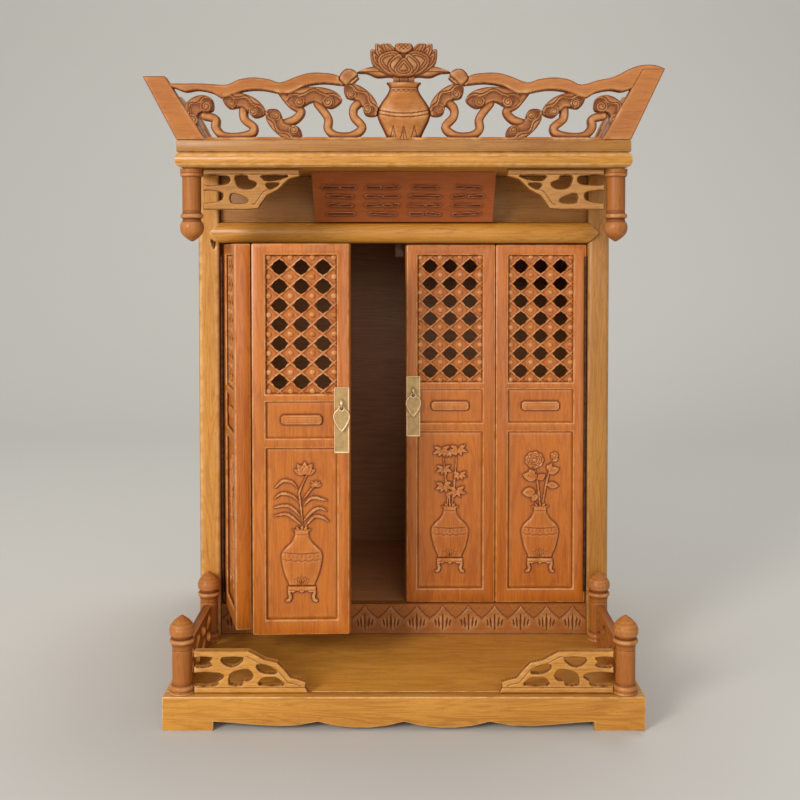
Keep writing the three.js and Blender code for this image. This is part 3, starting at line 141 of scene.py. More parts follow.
world = bpy.data.worlds.new("pale_room")
bpy.context.scene.world = world
world.use_nodes = True
world.node_tree.nodes["Background"].inputs["Color"].default_value = WORLD_COLOUR
world.node_tree.nodes["Background"].inputs["Strength"].default_value = WORLD_STRENGTH
bpy.context.scene.view_settings.view_transform = "Standard"
plain_floor()
MIDDLE = (0, -0.05, 0.28)
soft_light("key_light", (-1.7, -2.4, 1.25), MIDDLE, size=1.0, power=66, colour=(1.0, 0.97, 0.93))
soft_light("fill_light", (0.5, -2.9, 0.95), MIDDLE, size=1.4, power=17, colour=(1.0, 0.98, 0.96))
soft_light("back_light", (0.4, 1.0, 3.2), MIDDLE, size=1.6, power=40, colour=(1.0, 0.98, 0.95))
print("stage set")

# %% [markdown]
# All the wood comes from the same plank of ideas: long fibres, a few darker bands, short pores and a slow
# drift of colour. So the grain is one node group. It reads a vector called grain, which every wooden mesh
# carries: the place in millimetres, turned so that the fibres run along its third number. A board that
# lies down and a post that stands then share one material.
# A second group darkens what lies deeper than its surroundings, as stain and as painted shade, and pales
# ridges and eased edges, as wear and as a painted highlight. It reads two more numbers of the mesh, one for
# the dark share and one for ridges, which the carving writes as it is made.

# %% Node helpers
def add_node(tree, kind, links=None, **values):
    node = tree.nodes.new(kind)
    for key, value in values.items():
        setattr(node, key, value)
    for socket, source in (links or {}).items():
        if isinstance(source, bpy.types.NodeSocket):
            tree.links.new(source, node.inputs[socket])
        else:
            node.inputs[socket].default_value = source
    return node


def new_group(name, inputs, outputs):
    tree = bpy.data.node_groups.new(name, "ShaderNodeTree")
    for label, kind, value in inputs:
        socket = tree.interface.new_socket(label, in_out="INPUT", socket_type=kind)
        if value is not None:
            socket.default_value = value
    for label, kind in outputs:
        tree.interface.new_socket(label, in_out="OUTPUT", socket_type=kind)
    return tree, tree.nodes.new("NodeGroupInput"), tree.nodes.new("NodeGroupOutput")


def stretched_noise(tree, vector, across, along, detail, distortion=0.0):
    stretch = {0: vector, 1: (across, across, along)}
    scaled = add_node(tree, "ShaderNodeVectorMath", stretch, operation="MULTIPLY")
    return add_node(tree, "ShaderNodeTexNoise", {
        "Vector": scaled.outputs[0], "Scale": 1.0, "Detail": detail, "Distortion": distortion,
    }).outputs["Fac"]


def spread(tree, value, low, high):
    return add_node(tree, "ShaderNodeMapRange", {
        "Value": value, "From Min": low, "From Max": high,
    }, clamp=True).outputs["Result"]


def mixed(tree, factor, first, second):
    return add_node(tree, "ShaderNodeMix", {0: factor, 6: first, 7: second}, data_type="RGBA").outputs[2]


def calculated(tree, operation, *values):
    return add_node(tree, "ShaderNodeMath", dict(enumerate(values)), operation=operation).outputs[0]


# %% Group: wood grain
FIBRE = (0.9, 0.035)
FINE_FIBRE = (3.6, 0.09)
BANDS = (0.075, 0.006)
DRIFT = (0.018, 0.006)
PORES = (2.6, 0.16)
PORE_COLOUR, PORE_DARKNESS, PORE_DEPTH = (0.05, 0.018, 0.006, 1), 0.55, 0.8
RING_COUNT, RING_SHARE, FIBRE_SHARE, FINE_SHARE, DRIFT_SHARE = 55.0, 0.45, 0.55, 0.28, 0.5


def build_grain_group():
    tree, given, made = new_group(
        "wood_grain",
        [("Grain", "NodeSocketVector", None), ("Light", "NodeSocketColor", None),
         ("Dark", "NodeSocketColor", None), ("Contrast", "NodeSocketFloat", 1.0)],
        [("Color", "NodeSocketColor"), ("Relief", "NodeSocketFloat")],
    )
    vector = given.outputs["Grain"]
    fibre = stretched_noise(tree, vector, *FIBRE, 5.0, 0.4)
    fine = stretched_noise(tree, vector, *FINE_FIBRE, 3.0)
    bands = stretched_noise(tree, vector, *BANDS, 2.0, 0.8)
    waves = calculated(tree, "SINE", calculated(tree, "MULTIPLY", bands, RING_COUNT))
    drift = stretched_noise(tree, vector, *DRIFT, 2.0)
    pores = spread(tree, stretched_noise(tree, vector, *PORES, 1.0), 0.66, 0.74)
    rings = spread(tree, waves, -0.2, 1.0)
    body = calculated(tree, "MULTIPLY", rings, RING_SHARE)
    body = calculated(tree, "MULTIPLY_ADD", spread(tree, fibre, 0.3, 0.7), FIBRE_SHARE, body)
    body = calculated(tree, "MULTIPLY_ADD", spread(tree, fine, 0.35, 0.65), FINE_SHARE, body)
    body = calculated(tree, "MULTIPLY_ADD", spread(tree, drift, 0.35, 0.65), DRIFT_SHARE, body)
    share = calculated(tree, "MULTIPLY", spread(tree, body, 0.35, 1.5), given.outputs["Contrast"])
    colour = mixed(tree, share, given.outputs["Light"], given.outputs["Dark"])
    colour = mixed(tree, calculated(tree, "MULTIPLY", pores, PORE_DARKNESS), colour, PORE_COLOUR)
    relief = calculated(tree, "SUBTRACT", fine, calculated(tree, "MULTIPLY", pores, PORE_DEPTH))
    tree.links.new(colour, made.inputs["Color"])
    tree.links.new(relief, made.inputs["Relief"])
    return tree


GRAIN_GROUP = build_grain_group()
print("grain group has", len(GRAIN_GROUP.nodes), "nodes")


# %% Group: stain and painted shade in hollows, wear and painted highlight on ridges
# How far stain and painted shade darken, how far ridges pale as wear and painted highlight, and how much
# rougher the hollows get.
STAIN_AND_SHADE_STRENGTH, RIDGE_WEAR_AND_HIGHLIGHT, DUST = 0.9, 0.75, 0.25


def build_wear_group():
    tree, given, made = new_group(
        "hollows_and_ridges",
        [("Color", "NodeSocketColor", None), ("Hollow", "NodeSocketFloat", 0.0),
         ("Ridge", "NodeSocketFloat", 0.0), ("Stain", "NodeSocketColor", None),
         ("Rubbed", "NodeSocketColor", None), ("Place", "NodeSocketVector", None)],
        [("Color", "NodeSocketColor"), ("Roughness", "NodeSocketFloat")],
    )
    patches = stretched_noise(tree, given.outputs["Place"], 0.12, 0.12, 4.0)
    uneven = spread(tree, patches, 0.3, 0.62)
    # Stain and painted shade darken the colour towards the dark colour.
    stain_and_shade = calculated(tree, "MULTIPLY", given.outputs["Hollow"], STAIN_AND_SHADE_STRENGTH)
    # Ridges pale in uneven patches, as wear and as a painted highlight.
    wear_and_highlight_patches = calculated(tree, "MULTIPLY", uneven, RIDGE_WEAR_AND_HIGHLIGHT)
    worn_and_lit = calculated(tree, "MULTIPLY", given.outputs["Ridge"], wear_and_highlight_patches)
    colour = mixed(tree, worn_and_lit, given.outputs["Color"], given.outputs["Rubbed"])
    colour = mixed(tree, stain_and_shade, colour, given.outputs["Stain"])
    dusty = calculated(tree, "MULTIPLY", given.outputs["Hollow"], DUST)
    rough = calculated(tree, "ADD", dusty, calculated(tree, "MULTIPLY_ADD", patches, 0.22, 0.26))
    tree.links.new(colour, made.inputs["Color"])
    tree.links.new(rough, made.inputs["Roughness"])
    return tree


WEAR_GROUP = build_wear_group()
print("wear group has", len(WEAR_GROUP.nodes), "nodes")

# %% [markdown]
# Five woods are told apart: the golden frame, the redder doors, the carved parts whose hollows are darker
# by stain and by painted shade, the brown plaque and the unlit room. They differ in colours and contrast
# alone.


# %% Wood finishes
def named_group(tree, group, **links):
    node = tree.nodes.new("ShaderNodeGroup")
    node.node_tree = group
    for key, source in links.items():
        if isinstance(source, bpy.types.NodeSocket):
            tree.links.new(source, node.inputs[key])
        else:
            node.inputs[key].default_value = source
    return node


def attribute(tree, name):
    return add_node(tree, "ShaderNodeAttribute", attribute_name=name)


def wood(name, light, dark, stain, worn_and_lit, contrast=1.0, coat=0.12, bump=0.12, shine=0.32):
    material = bpy.data.materials.new(name)
    material.use_nodes = True
    tree = material.node_tree
    shader = tree.nodes["Principled BSDF"]
    grain_at = attribute(tree, "grain").outputs["Vector"]
    grain = named_group(tree, GRAIN_GROUP, Grain=grain_at, Light=light, Dark=dark, Contrast=contrast)
    wear = named_group(
        tree, WEAR_GROUP, Color=grain.outputs["Color"], Hollow=attribute(tree, "stain_and_shade").outputs["Fac"],
        Ridge=attribute(tree, "ridge").outputs["Fac"], Stain=stain, Rubbed=worn_and_lit, Place=grain_at,
    )
    bumps = add_node(tree, "ShaderNodeBump", {
        "Height": grain.outputs["Relief"], "Strength": bump, "Distance": 0.0004,
    })
    tree.links.new(wear.outputs["Color"], shader.inputs["Base Color"])
    tree.links.new(wear.outputs["Roughness"], shader.inputs["Roughness"])
    tree.links.new(bumps.outputs["Normal"], shader.inputs["Normal"])
    shader.inputs["Coat Weight"].default_value = coat
    shader.inputs["Coat Roughness"].default_value = 0.22
    shader.inputs["Specular IOR Level"].default_value = shine
    return material


# Each stain colour also paints shade in hollows and on boards in shadow, and each pale colour for ridges
# also paints highlights on edges.
FINISHES = {
    "frame_wood": wood(
        "frame_wood", light=(0.56, 0.255, 0.040, 1), dark=(0.330, 0.115, 0.014, 1),
        stain=(0.10, 0.030, 0.010, 1), worn_and_lit=(0.66, 0.40, 0.17, 1), contrast=0.8,
    ),
    "carved_wood": wood(
        "carved_wood", light=(0.40, 0.138, 0.026, 1), dark=(0.26, 0.076, 0.014, 1),
        stain=(0.115, 0.027, 0.009, 1), worn_and_lit=(0.60, 0.33, 0.14, 1), contrast=0.75, coat=0.04, shine=0.2,
    ),
    "door_wood": wood(
        "door_wood", light=(0.49, 0.142, 0.014, 1), dark=(0.29, 0.068, 0.006, 1),
        stain=(0.15, 0.030, 0.007, 1), worn_and_lit=(0.58, 0.29, 0.11, 1), contrast=0.85,
    ),
    "plaque_wood": wood(
        "plaque_wood", light=(0.41, 0.115, 0.033, 1), dark=(0.29, 0.074, 0.020, 1),
        stain=(0.11, 0.026, 0.010, 1), worn_and_lit=(0.42, 0.17, 0.08, 1), contrast=0.8, coat=0.1, bump=0.08,
    ),
    # The room's near-black stain colour paints the back panel in shade, and its dark colour for ridges
    # paints a shadow along the eased edges of the floor and the back.
    "room_wood": wood(
        "room_wood", light=(0.56, 0.24, 0.085, 1), dark=(0.38, 0.145, 0.05, 1),
        stain=(0.02, 0.008, 0.004, 1), worn_and_lit=(0.10, 0.04, 0.02, 1), coat=0.05,
    ),
}
print("woods:", ", ".join(FINISHES))

# %% [markdown]
# The latch plates are brass that has gone dull and sandy, with bright edges that are partly rubbed and
# partly a painted highlight. The hinges and the catch are dark iron. Metal shows its age by blotches, so
# both read a few sizes of noise on the object's own place.


# %% Metal finishes
def metal(name, clean, dull, rough, bright=None):
    material = bpy.data.materials.new(name)
    material.use_nodes = True
    tree = material.node_tree
    shader = tree.nodes["Principled BSDF"]
    place = add_node(tree, "ShaderNodeTexCoord").outputs["Object"]
    blotches = add_node(tree, "ShaderNodeTexNoise", {"Vector": place, "Scale": 220.0, "Detail": 5.0})
    grit = add_node(tree, "ShaderNodeTexNoise", {"Vector": place, "Scale": 2600.0, "Detail": 2.0})
    colour = mixed(tree, spread(tree, blotches.outputs["Fac"], 0.38, 0.64), clean, dull)
    if bright:
        # Edges are paled towards the bright colour, partly as rubbed wear and partly as a painted
        # highlight.
        worn_and_lit = calculated(tree, "MULTIPLY", attribute(tree, "ridge").outputs["Fac"], 0.8)
        colour = mixed(tree, worn_and_lit, colour, bright)
    roughness = calculated(tree, "MULTIPLY_ADD", blotches.outputs["Fac"], 0.3, rough)
    bumps = add_node(tree, "ShaderNodeBump", {
        "Height": grit.outputs["Fac"], "Strength": 0.25, "Distance": 0.0002,
    })
    tree.links.new(colour, shader.inputs["Base Color"])
    tree.links.new(roughness, shader.inputs["Roughness"])
    tree.links.new(bumps.outputs["Normal"], shader.inputs["Normal"])
    shader.inputs["Metallic"].default_value = 0.85
    return material


FINISHES["brass"] = metal(
    "brass", clean=(0.46, 0.305, 0.135, 1), dull=(0.38, 0.245, 0.105, 1), rough=0.36,
    bright=(0.84, 0.62, 0.38, 1),
)
FINISHES["dark_metal"] = metal(
    "dark_metal", clean=(0.10, 0.040, 0.022, 1), dull=(0.045, 0.020, 0.012, 1), rough=0.45,
)
print("metals: brass, dark_metal")

# %% [markdown]
# A plain board still isn't a sharp box: its edges are eased by a plane and a cloth. Each such node is
# copied, its loose triangles are merged back into whole faces, and its edges get a narrow bevel.
# The bevel's faces are marked as ridges, so that the finish is paled there, as wear and as a painted
# highlight, and every face notes its grain by the direction its plank would be cut in.

# %% Tools for plain pieces
SHARP = math.radians(28)
made_pieces = []


def body_of(node):
    for body, members in BEHAVIOUR["bodies"].items():
        if node in members:
            return body
    return "cabinet"


def grain_place(points, axis):
    """The place in millimetres, turned so that the fibres run along the third number."""
    order = {"x": (1, 2, 0), "y": (2, 0, 1), "z": (0, 1, 2)}[axis]
    return points[..., order] / MM


def write_corners(mesh, name, values, kind):
    layer = mesh.attributes.new(name, kind, "CORNER")
    layer.data.foreach_set("vector" if kind == "FLOAT_VECTOR" else "value", values.ravel())


def settle(name, mesh, node, slot):
    """Makes a finished mesh a piece, with its finish, its body and the node it stands for."""
    mesh.materials.clear()
    mesh.materials.append(FINISHES[slot])
    piece = bpy.data.objects.new(name, mesh)
    bpy.context.scene.collection.objects.link(piece)
    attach(piece, body_of(node))
    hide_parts(node)
    made_pieces.append(name)


def softened(node, slot, axis, width, shade=0.0):
    """A copy of a plain node with eased edges; shade darkens the whole of it a little, as painted shade and
    in part as its own darker tone.
    """
    mesh = frame["nodes"][node].data.copy()
    mesh.name = node + "_shaped"
    sketch = bmesh.new()
    sketch.from_mesh(mesh)
    bmesh.ops.remove_doubles(sketch, verts=sketch.verts, dist=1e-6)
    bmesh.ops.dissolve_limit(sketch, angle_limit=math.radians(1), verts=sketch.verts, edges=sketch.edges)
    edges = [edge for edge in sketch.edges if len(edge.link_faces) == 2 and edge.calc_face_angle(0) > SHARP]
    made = bmesh.ops.bevel(
        sketch, geom=edges, offset=width * MM, offset_type="OFFSET", segments=2, profile=0.5,
        affect="EDGES", clamp_overlap=True,
    )
    sketch.faces.index_update()
    eased = {face.index for face in made["faces"]}
    sketch.to_mesh(mesh)
    sketch.free()
    count = len(mesh.loops)
    corner_vertex = np.zeros(count, int)
    mesh.loops.foreach_get("vertex_index", corner_vertex)
    points = np.zeros(len(mesh.vertices) * 3)
    mesh.vertices.foreach_get("co", points)
    ridge = np.zeros(count)
    for face in mesh.polygons:
        ridge[face.loop_start:face.loop_start + face.loop_total] = face.index in eased
    grain = grain_place(points.reshape(-1, 3)[corner_vertex], axis)
    write_corners(mesh, "grain", grain, "FLOAT_VECTOR")
    write_corners(mesh, "ridge", ridge, "FLOAT")
    # The whole board is darkened by shade: painted shade, and for some boards their own darker tone.
    write_corners(mesh, "stain_and_shade", np.full(count, shade), "FLOAT")
    mesh.shade_smooth()
    mesh.set_sharp_from_angle(angle=SHARP)
    settle(node + "_shaped", mesh, node, slot)


# %% Plain boards
GRAIN_WAYS = {
    "x": (
        "apron_front", "apron_back", "deck_board", "top_rail", "frieze_panel", "cornice_board", "cap_board",
    ),
    "y": ("apron_left", "apron_right"),
    "z": ("stile_right", "side_panel_left", "side_panel_right"),
}
# Whole boards darkened: the frieze under the cornice and the back inside the cabinet by painted shade, the
# cap and the right stile partly by their own darker tone and partly by painted shade.
DARKER = {"cap_board": 0.46, "stile_right": 0.36, "frieze_panel": 0.54, "back_panel": 0.4}
BOARD_EASE, ROOM_EASE = 1.0, 0.5
for axis, nodes in GRAIN_WAYS.items():
    for node in nodes:
        softened(node, "frame_wood", axis, BOARD_EASE, DARKER.get(node, 0.0))
for node in ("floor_board", "back_panel"):
    softened(node, "room_wood", "x", ROOM_EASE, DARKER.get(node, 0.0))
print("plain boards:", len(made_pieces))

# %% [markdown]
# The frames of the leaves are rounded more than the boards, as a moulding plane would leave them. Hinges
# and the door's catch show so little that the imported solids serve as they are, and only get their iron.

# %% Door frames and ironwork
LEAVES = ("left_outer", "left_inner", "right_inner", "right_outer")
# The right inner leaf is a little darker all over: partly its own browner tone, partly painted shade.
LEAF_EASE, LEAF_SHADE = 1.9, {"right_inner": 0.07}
IRONWORK = ("jamb_hinge_left", "jamb_hinge_right", "fold_hinge_left", "fold_hinge_right", "door_catch")
for leaf in LEAVES:
    softened("leaf_frame_" + leaf, "door_wood", "z", LEAF_EASE, LEAF_SHADE.get(leaf, 0.0))
for name in IRONWORK:
    solid = frame["nodes"][name].data
    solid.materials.clear()
    solid.materials.append(FINISHES["dark_metal"])
print("leaf frames:", len(LEAVES), "and iron pieces:", len(IRONWORK))

# %% [markdown]
# Carving takes wood away from the front of a board, so a carved piece is drawn here the way a carver
# thinks of it: a board seen from the front, and for every point how far inside the outline it lies and
# how high the surface stands. Outlines are joined and cut by comparing those distances. A walk over the
# small squares of the drawing then makes the mesh: whole squares inside the wood, clipped ones along the
# edge, a plain back and walls between. The dark and pale shares come from comparing the surface with a
# blurred copy of itself: what lies deeper than its surroundings is darkened as painted shade, with any
# stain added, and what stands out is paled as wear and as a painted highlight.

# %% Distances in a drawing
SQUARE = [[0, 0], [10, 0], [10, 10], [0, 10]]


def polygon_distance(u, v, corners):
    """How far each point lies inside a closed outline, negative outside it."""
    corners = np.asarray(corners, float)
    nearest = np.full(u.shape, 1e6)
    inside = np.zeros(u.shape, bool)
    for (x0, z0), (x1, z1) in zip(corners, np.roll(corners, -1, axis=0)):
        dx, dz = x1 - x0, z1 - z0
        along = np.clip(((u - x0) * dx + (v - z0) * dz) / max(dx * dx + dz * dz, 1e-9), 0, 1)
        nearest = np.minimum(nearest, np.hypot(u - x0 - along * dx, v - z0 - along * dz))
        if dz:
            inside ^= ((z0 > v) != (z1 > v)) & (u < (v - z0) * dx / dz + x0)
    return np.where(inside, nearest, -nearest)


def line_distance(u, v, points):
    """Distance to a line through the points, and how far along it the nearest place is, 0 to 1."""
    points = np.asarray(points, float)
    lengths = np.hypot(*(points[1:] - points[:-1]).T)
    nearest = np.full(u.shape, 1e6)
    share = np.zeros(u.shape)
    done = 0.0
    for (x0, z0), (x1, z1), length in zip(points[:-1], points[1:], lengths):
        dx, dz = x1 - x0, z1 - z0
        along = np.clip(((u - x0) * dx + (v - z0) * dz) / max(length * length, 1e-9), 0, 1)
        away = np.hypot(u - x0 - along * dx, v - z0 - along * dz)
        closer = away < nearest
        nearest = np.where(closer, away, nearest)
        share = np.where(closer, (done + along * length) / lengths.sum(), share)
        done += length
    return nearest, share


def smooth_line(points, steps=6, closed=False):
    """A smooth line through the points, by the Catmull-Rom rule."""
    points = [np.asarray(p, float) for p in points]
    count = len(points)
    made = []
    for i in range(count if closed else count - 1):
        before = points[(i - 1) % count] if closed or i else points[0]
        start, end = points[i], points[(i + 1) % count]
        after = points[(i + 2) % count] if closed or i + 2 < count else points[-1]
        for t in np.arange(steps) / steps:
            bend = 2 * before - 5 * start + 4 * end - after
            twist = 3 * start - 3 * end + after - before
            made.append(0.5 * (2 * start + (end - before) * t + bend * t**2 + twist * t**3))
    if not closed:
        made.append(points[-1])
    return made


def blurred(values, weight, reach):
    """The mean of the values within about reach squares, where weight says there is wood."""
    def pass_over(field, axis):
        size = 2 * reach + 1
        padding = [(0, 0), (0, 0)]
        padding[axis] = (reach + 1, reach)
        total = np.cumsum(np.pad(field, padding, mode="edge"), axis=axis)
        ahead = np.take(total, range(size, total.shape[axis]), axis=axis)
        behind = np.take(total, range(total.shape[axis] - size), axis=axis)
        return (ahead - behind) / size
    top, bottom = values * weight, weight.astype(float)
    for _ in range(2):
        for axis in (0, 1):
            top, bottom = pass_over(top, axis), pass_over(bottom, axis)
    return top / np.maximum(bottom, 1e-6)


measured = polygon_distance(np.array([2.0]), np.array([5.0]), SQUARE)[0]
print("a place 2 mm from the side of a square lies", measured, "mm inside it")

# %% [markdown]
# A board starts with no wood, or whole. Adding joins a form to it, laying puts a form over what is there,
# piercing saws a hole, and a groove runs along a line. The height at the rim is kept by itself, because
# the mesh needs it exactly on the edge, between two squares of the drawing.

# %% The board being carved
FAR = 1e3
NEAR_REACH, WIDE_REACH = 1.1, 2.8


class Carving:
    """A drawing on squares of one step: how far inside the wood, how high above the board's face, how high
    at its rim, and how dark the stain was left."""

    def __init__(self, low, high, step):
        self.step = step
        across = np.linspace(low[0], high[0], int(round((high[0] - low[0]) / step)) + 1)
        up = np.linspace(low[1], high[1], int(round((high[1] - low[1]) / step)) + 1)
        self.u, self.v = np.meshgrid(across, up, indexing="ij")
        self.inside = np.full(self.u.shape, -FAR)
        self.height = np.full(self.u.shape, -FAR)
        self.rim = np.full(self.u.shape, FAR)
        self.stain = np.zeros(self.u.shape)

    def whole_board(self, height=0.0):
        self.inside[:] = FAR
        self.height[:] = height

    def add(self, distance, top, rounding=1.0):
        """Joins a form whose edges are rounded over, at the given height."""
        eased = np.clip(1 - distance / rounding, 0, 1)
        height = top - rounding * 0.8 * (1 - np.sqrt(1 - eased**2))
        higher = (distance > 0) & (height > self.height)
        beside = (distance > -2 * self.step) & (self.inside <= 0)
        self.rim = np.where(higher | beside, top - 0.8 * rounding, self.rim)
        self.height = np.where(higher, height, self.height)
        self.inside = np.maximum(self.inside, distance)

    def lay(self, distance, top, rounding=1.0):
        """Lays a form over what is there, also where that is higher."""
        eased = np.clip(1 - distance / rounding, 0, 1)
        height = top - rounding * 0.8 * (1 - np.sqrt(1 - eased**2))
        self.height = np.where(distance > 0, height, self.height)
        self.rim = np.where(distance > -2 * self.step, top - 0.8 * rounding, self.rim)
        self.inside = np.maximum(self.inside, distance)

    def tint(self, distance, amount):
        """Where the stain was left on over a whole form."""
        self.stain = np.where(distance > 0, amount, self.stain)

    def pierce(self, distance):
        self.inside = np.minimum(self.inside, -distance)

    def groove(self, away, width, depth, where=True):
        """A rounded groove along whatever the distance away is measured from."""
        shape = np.clip(1 - (away / (width / 2)) ** 2, 0, 1)
        self.height = self.height - depth * shape * where
        self.rim = self.rim - depth * shape * where

    def ease_edges(self, width, depth):
        eased = np.clip(1 - self.inside / width, 0, 1)
        self.rim = self.height - depth
        self.height = self.height - depth * (1 - np.sqrt(1 - eased**2))

    def masks(self, strength):
        """How deep each place lies under its surroundings, darkened as painted shade with any stain added,
        and how far it stands out of them or lies near an edge, paled as wear and as a painted highlight.
        """
        wood = self.inside > 0
        near = blurred(self.height, wood, max(1, int(round(NEAR_REACH / self.step))))
        wide = blurred(self.height, wood, max(2, int(round(WIDE_REACH / self.step))))
        depth = 0.6 * (near - self.height) / 0.35 + 0.5 * (wide - self.height) / 0.9
        edge = np.clip(1 - self.inside / 0.9, 0, 1)
        # Raised places and edges pale as wear and painted highlight; deeper places darken as painted shade,
        # with the stain added.
        ridge = np.clip(-depth * strength + 0.5 * edge, 0, 1)
        stain_and_shade = np.clip(np.maximum(depth * strength, 0) + self.stain * (1 - 0.35 * ridge), 0, 1)
        return stain_and_shade, ridge


sample = Carving((0, 0), (10, 10), 0.5)
sample.whole_board()
sample.pierce(3.0 - np.hypot(sample.u - 5, sample.v - 5))
print("a sample board has", sample.u.size, "places and", int((sample.inside < 0).sum()), "in its hole")

# %% [markdown]
# The walk over the squares gives each place of the wood a point, and each place where the edge passes
# between two of them another one. The back is flat, so it is filled with as few triangles as its outline
# needs. The edge where the wall meets the face is kept sharp, so that light breaks on it as on cut wood.

# %% From the drawing to a mesh
WHOLE_HULL = 0
NEAREST_TO_EDGE = 0.06


def carved_mesh(carving, back, strength=1.8):
    """Points as (across, height, up), the dark share of each point from stain and painted shade and its
    pale share from wear and painted highlight, and faces.
    """
    small = NEAREST_TO_EDGE * carving.step
    pushed = np.where(carving.inside > 0, small, -small)
    inside = np.where(np.abs(carving.inside) < small, pushed, carving.inside)
    wood = inside > 0
    stain_and_shade, ridge = carving.masks(strength)
    known = carving.height > -FAR / 2
    fill = np.where(known, carving.height, blurred(carving.height, known, 1))
    number = np.full(wood.shape, -1)
    number[wood] = np.arange(wood.sum())
    points = [np.stack([carving.u[wood], fill[wood], carving.v[wood]], 1)]
    shades = [np.stack([stain_and_shade[wood], ridge[wood]], 1)]
    total = int(wood.sum())
    crossing = []
    for axis in (0, 1):
        first = wood[:-1, :] if axis == 0 else wood[:, :-1]
        second = wood[1:, :] if axis == 0 else wood[:, 1:]
        cut = first != second
        a = (slice(None, -1), slice(None)) if axis == 0 else (slice(None), slice(None, -1))
        b = (slice(1, None), slice(None)) if axis == 0 else (slice(None), slice(1, None))
        share = (inside[a] / (inside[a] - inside[b] + 1e-12))[cut]
        u = carving.u[a][cut] + share * (carving.u[b] - carving.u[a])[cut]
        v = carving.v[a][cut] + share * (carving.v[b] - carving.v[a])[cut]
        solid_first = wood[a][cut]
        level = np.minimum(fill, carving.rim)
        height = np.where(solid_first, level[a][cut], level[b][cut])
        dark = np.where(solid_first, stain_and_shade[a][cut], stain_and_shade[b][cut])
        light = np.where(solid_first, ridge[a][cut], ridge[b][cut])
        points.append(np.stack([u, height, v], 1))
        shades.append(np.stack([dark, light], 1))
        index = np.full(cut.shape, -1)
        index[cut] = total + np.arange(cut.sum())
        total += int(cut.sum())
        crossing.append(index)
    across, upward = crossing
    corners = wood[:-1, :-1].astype(int) + wood[1:, :-1] + wood[1:, 1:] + wood[:-1, 1:]
    i, j = np.nonzero(corners == 4)
    faces = np.stack([number[i, j], number[i + 1, j], number[i + 1, j + 1], number[i, j + 1]], 1).tolist()
    for i, j in zip(*np.nonzero((corners > 0) & (corners < 4))):
        ring = (
            (wood[i, j], number[i, j], across[i, j]),
            (wood[i + 1, j], number[i + 1, j], upward[i + 1, j]),
            (wood[i + 1, j + 1], number[i + 1, j + 1], across[i, j + 1]),
            (wood[i, j + 1], number[i, j + 1], upward[i, j]),
        )
        face = []
        for solid, corner, edge in ring:
            if solid:
                face.append(int(corner))
            if edge >= 0:
                face.append(int(edge))
        faces.append(face)
    points = np.concatenate(points)
    shades = np.concatenate(shades)
    return close_board(points, shades, faces, back)


def inside_border(places, starts, ends):
    """Which places lie inside the wood: a level line from them crosses its border an odd number of
    times."""
    inside = np.zeros(len(places), bool)
    for (x0, z0), (x1, z1) in zip(starts, ends):
        if z0 != z1:
            crosses = (z0 > places[:, 1]) != (z1 > places[:, 1])
            inside ^= crosses & (places[:, 0] < (places[:, 1] - z0) * (x1 - x0) / (z1 - z0) + x0)
    return inside


def close_board(points, shades, faces, back):
    """Adds the plain back, in as few triangles as it needs, and the walls round every edge."""
    edges = {(first, second) for face in faces for first, second in zip(face, face[1:] + face[:1])}
    border = sorted(edge for edge in edges if (edge[1], edge[0]) not in edges)
    ring = sorted({v for edge in border for v in edge})
    order = {v: number for number, v in enumerate(ring)}
    flat = points[ring][:, (0, 2)]
    lines = [(order[first], order[second]) for first, second in border]
    filled = delaunay_2d_cdt([Vector(p) for p in flat], lines, [], WHOLE_HULL, 1e-5)
    places = np.array([tuple(p) for p in filled[0]])
    triangles = np.array(filled[2])
    first, second = np.array(lines).T
    kept = triangles[inside_border(places[triangles].mean(axis=1), flat[first], flat[second])]
    count = len(points)
    where = {old: count + number for number, olds in enumerate(filled[3]) for old in olds}
    back_points = np.stack([places[:, 0], np.full(len(places), -back), places[:, 1]], 1)
    walls = [[b, a, where[order[a]], where[order[b]]] for a, b in border]
    all_points = np.concatenate([points, back_points])
    all_shades = np.concatenate([shades, np.zeros((len(back_points), 2))])
    return all_points, all_shades, faces + (kept[:, ::-1] + count).tolist() + walls


CARVED_SHARP = math.radians(50)


def border_keys(points, faces):
    """The edges where a wall meets the front or the back of a board: one number for each pair of points."""
    quads = np.array([face for face in faces if len(face) == 4])
    one, two, three, four = (points[quads[:, corner]][:, (0, 2)] for corner in range(4))
    upright = np.maximum(np.abs(one - four).max(axis=1), np.abs(two - three).max(axis=1)) < 1e-3
    ends = np.concatenate([quads[upright][:, :2], quads[upright][:, 2:]])
    return ends.min(axis=1) * len(points) + ends.max(axis=1)


def sharpen(mesh, keys):
    """Keeps the edges of the given pairs of points sharp."""
    ends = np.zeros(2 * len(mesh.edges), np.int32)
    mesh.edges.foreach_get("vertices", ends)
    ends = ends.reshape(-1, 2).astype(np.int64)
    wanted = np.isin(ends.min(axis=1) * len(mesh.vertices) + ends.max(axis=1), keys)
    sharp = mesh.attributes.get("sharp_edge") or mesh.attributes.new("sharp_edge", "BOOLEAN", "EDGE")
    now = np.zeros(len(ends), bool)
    sharp.data.foreach_get("value", now)
    sharp.data.foreach_set("value", now | wanted)


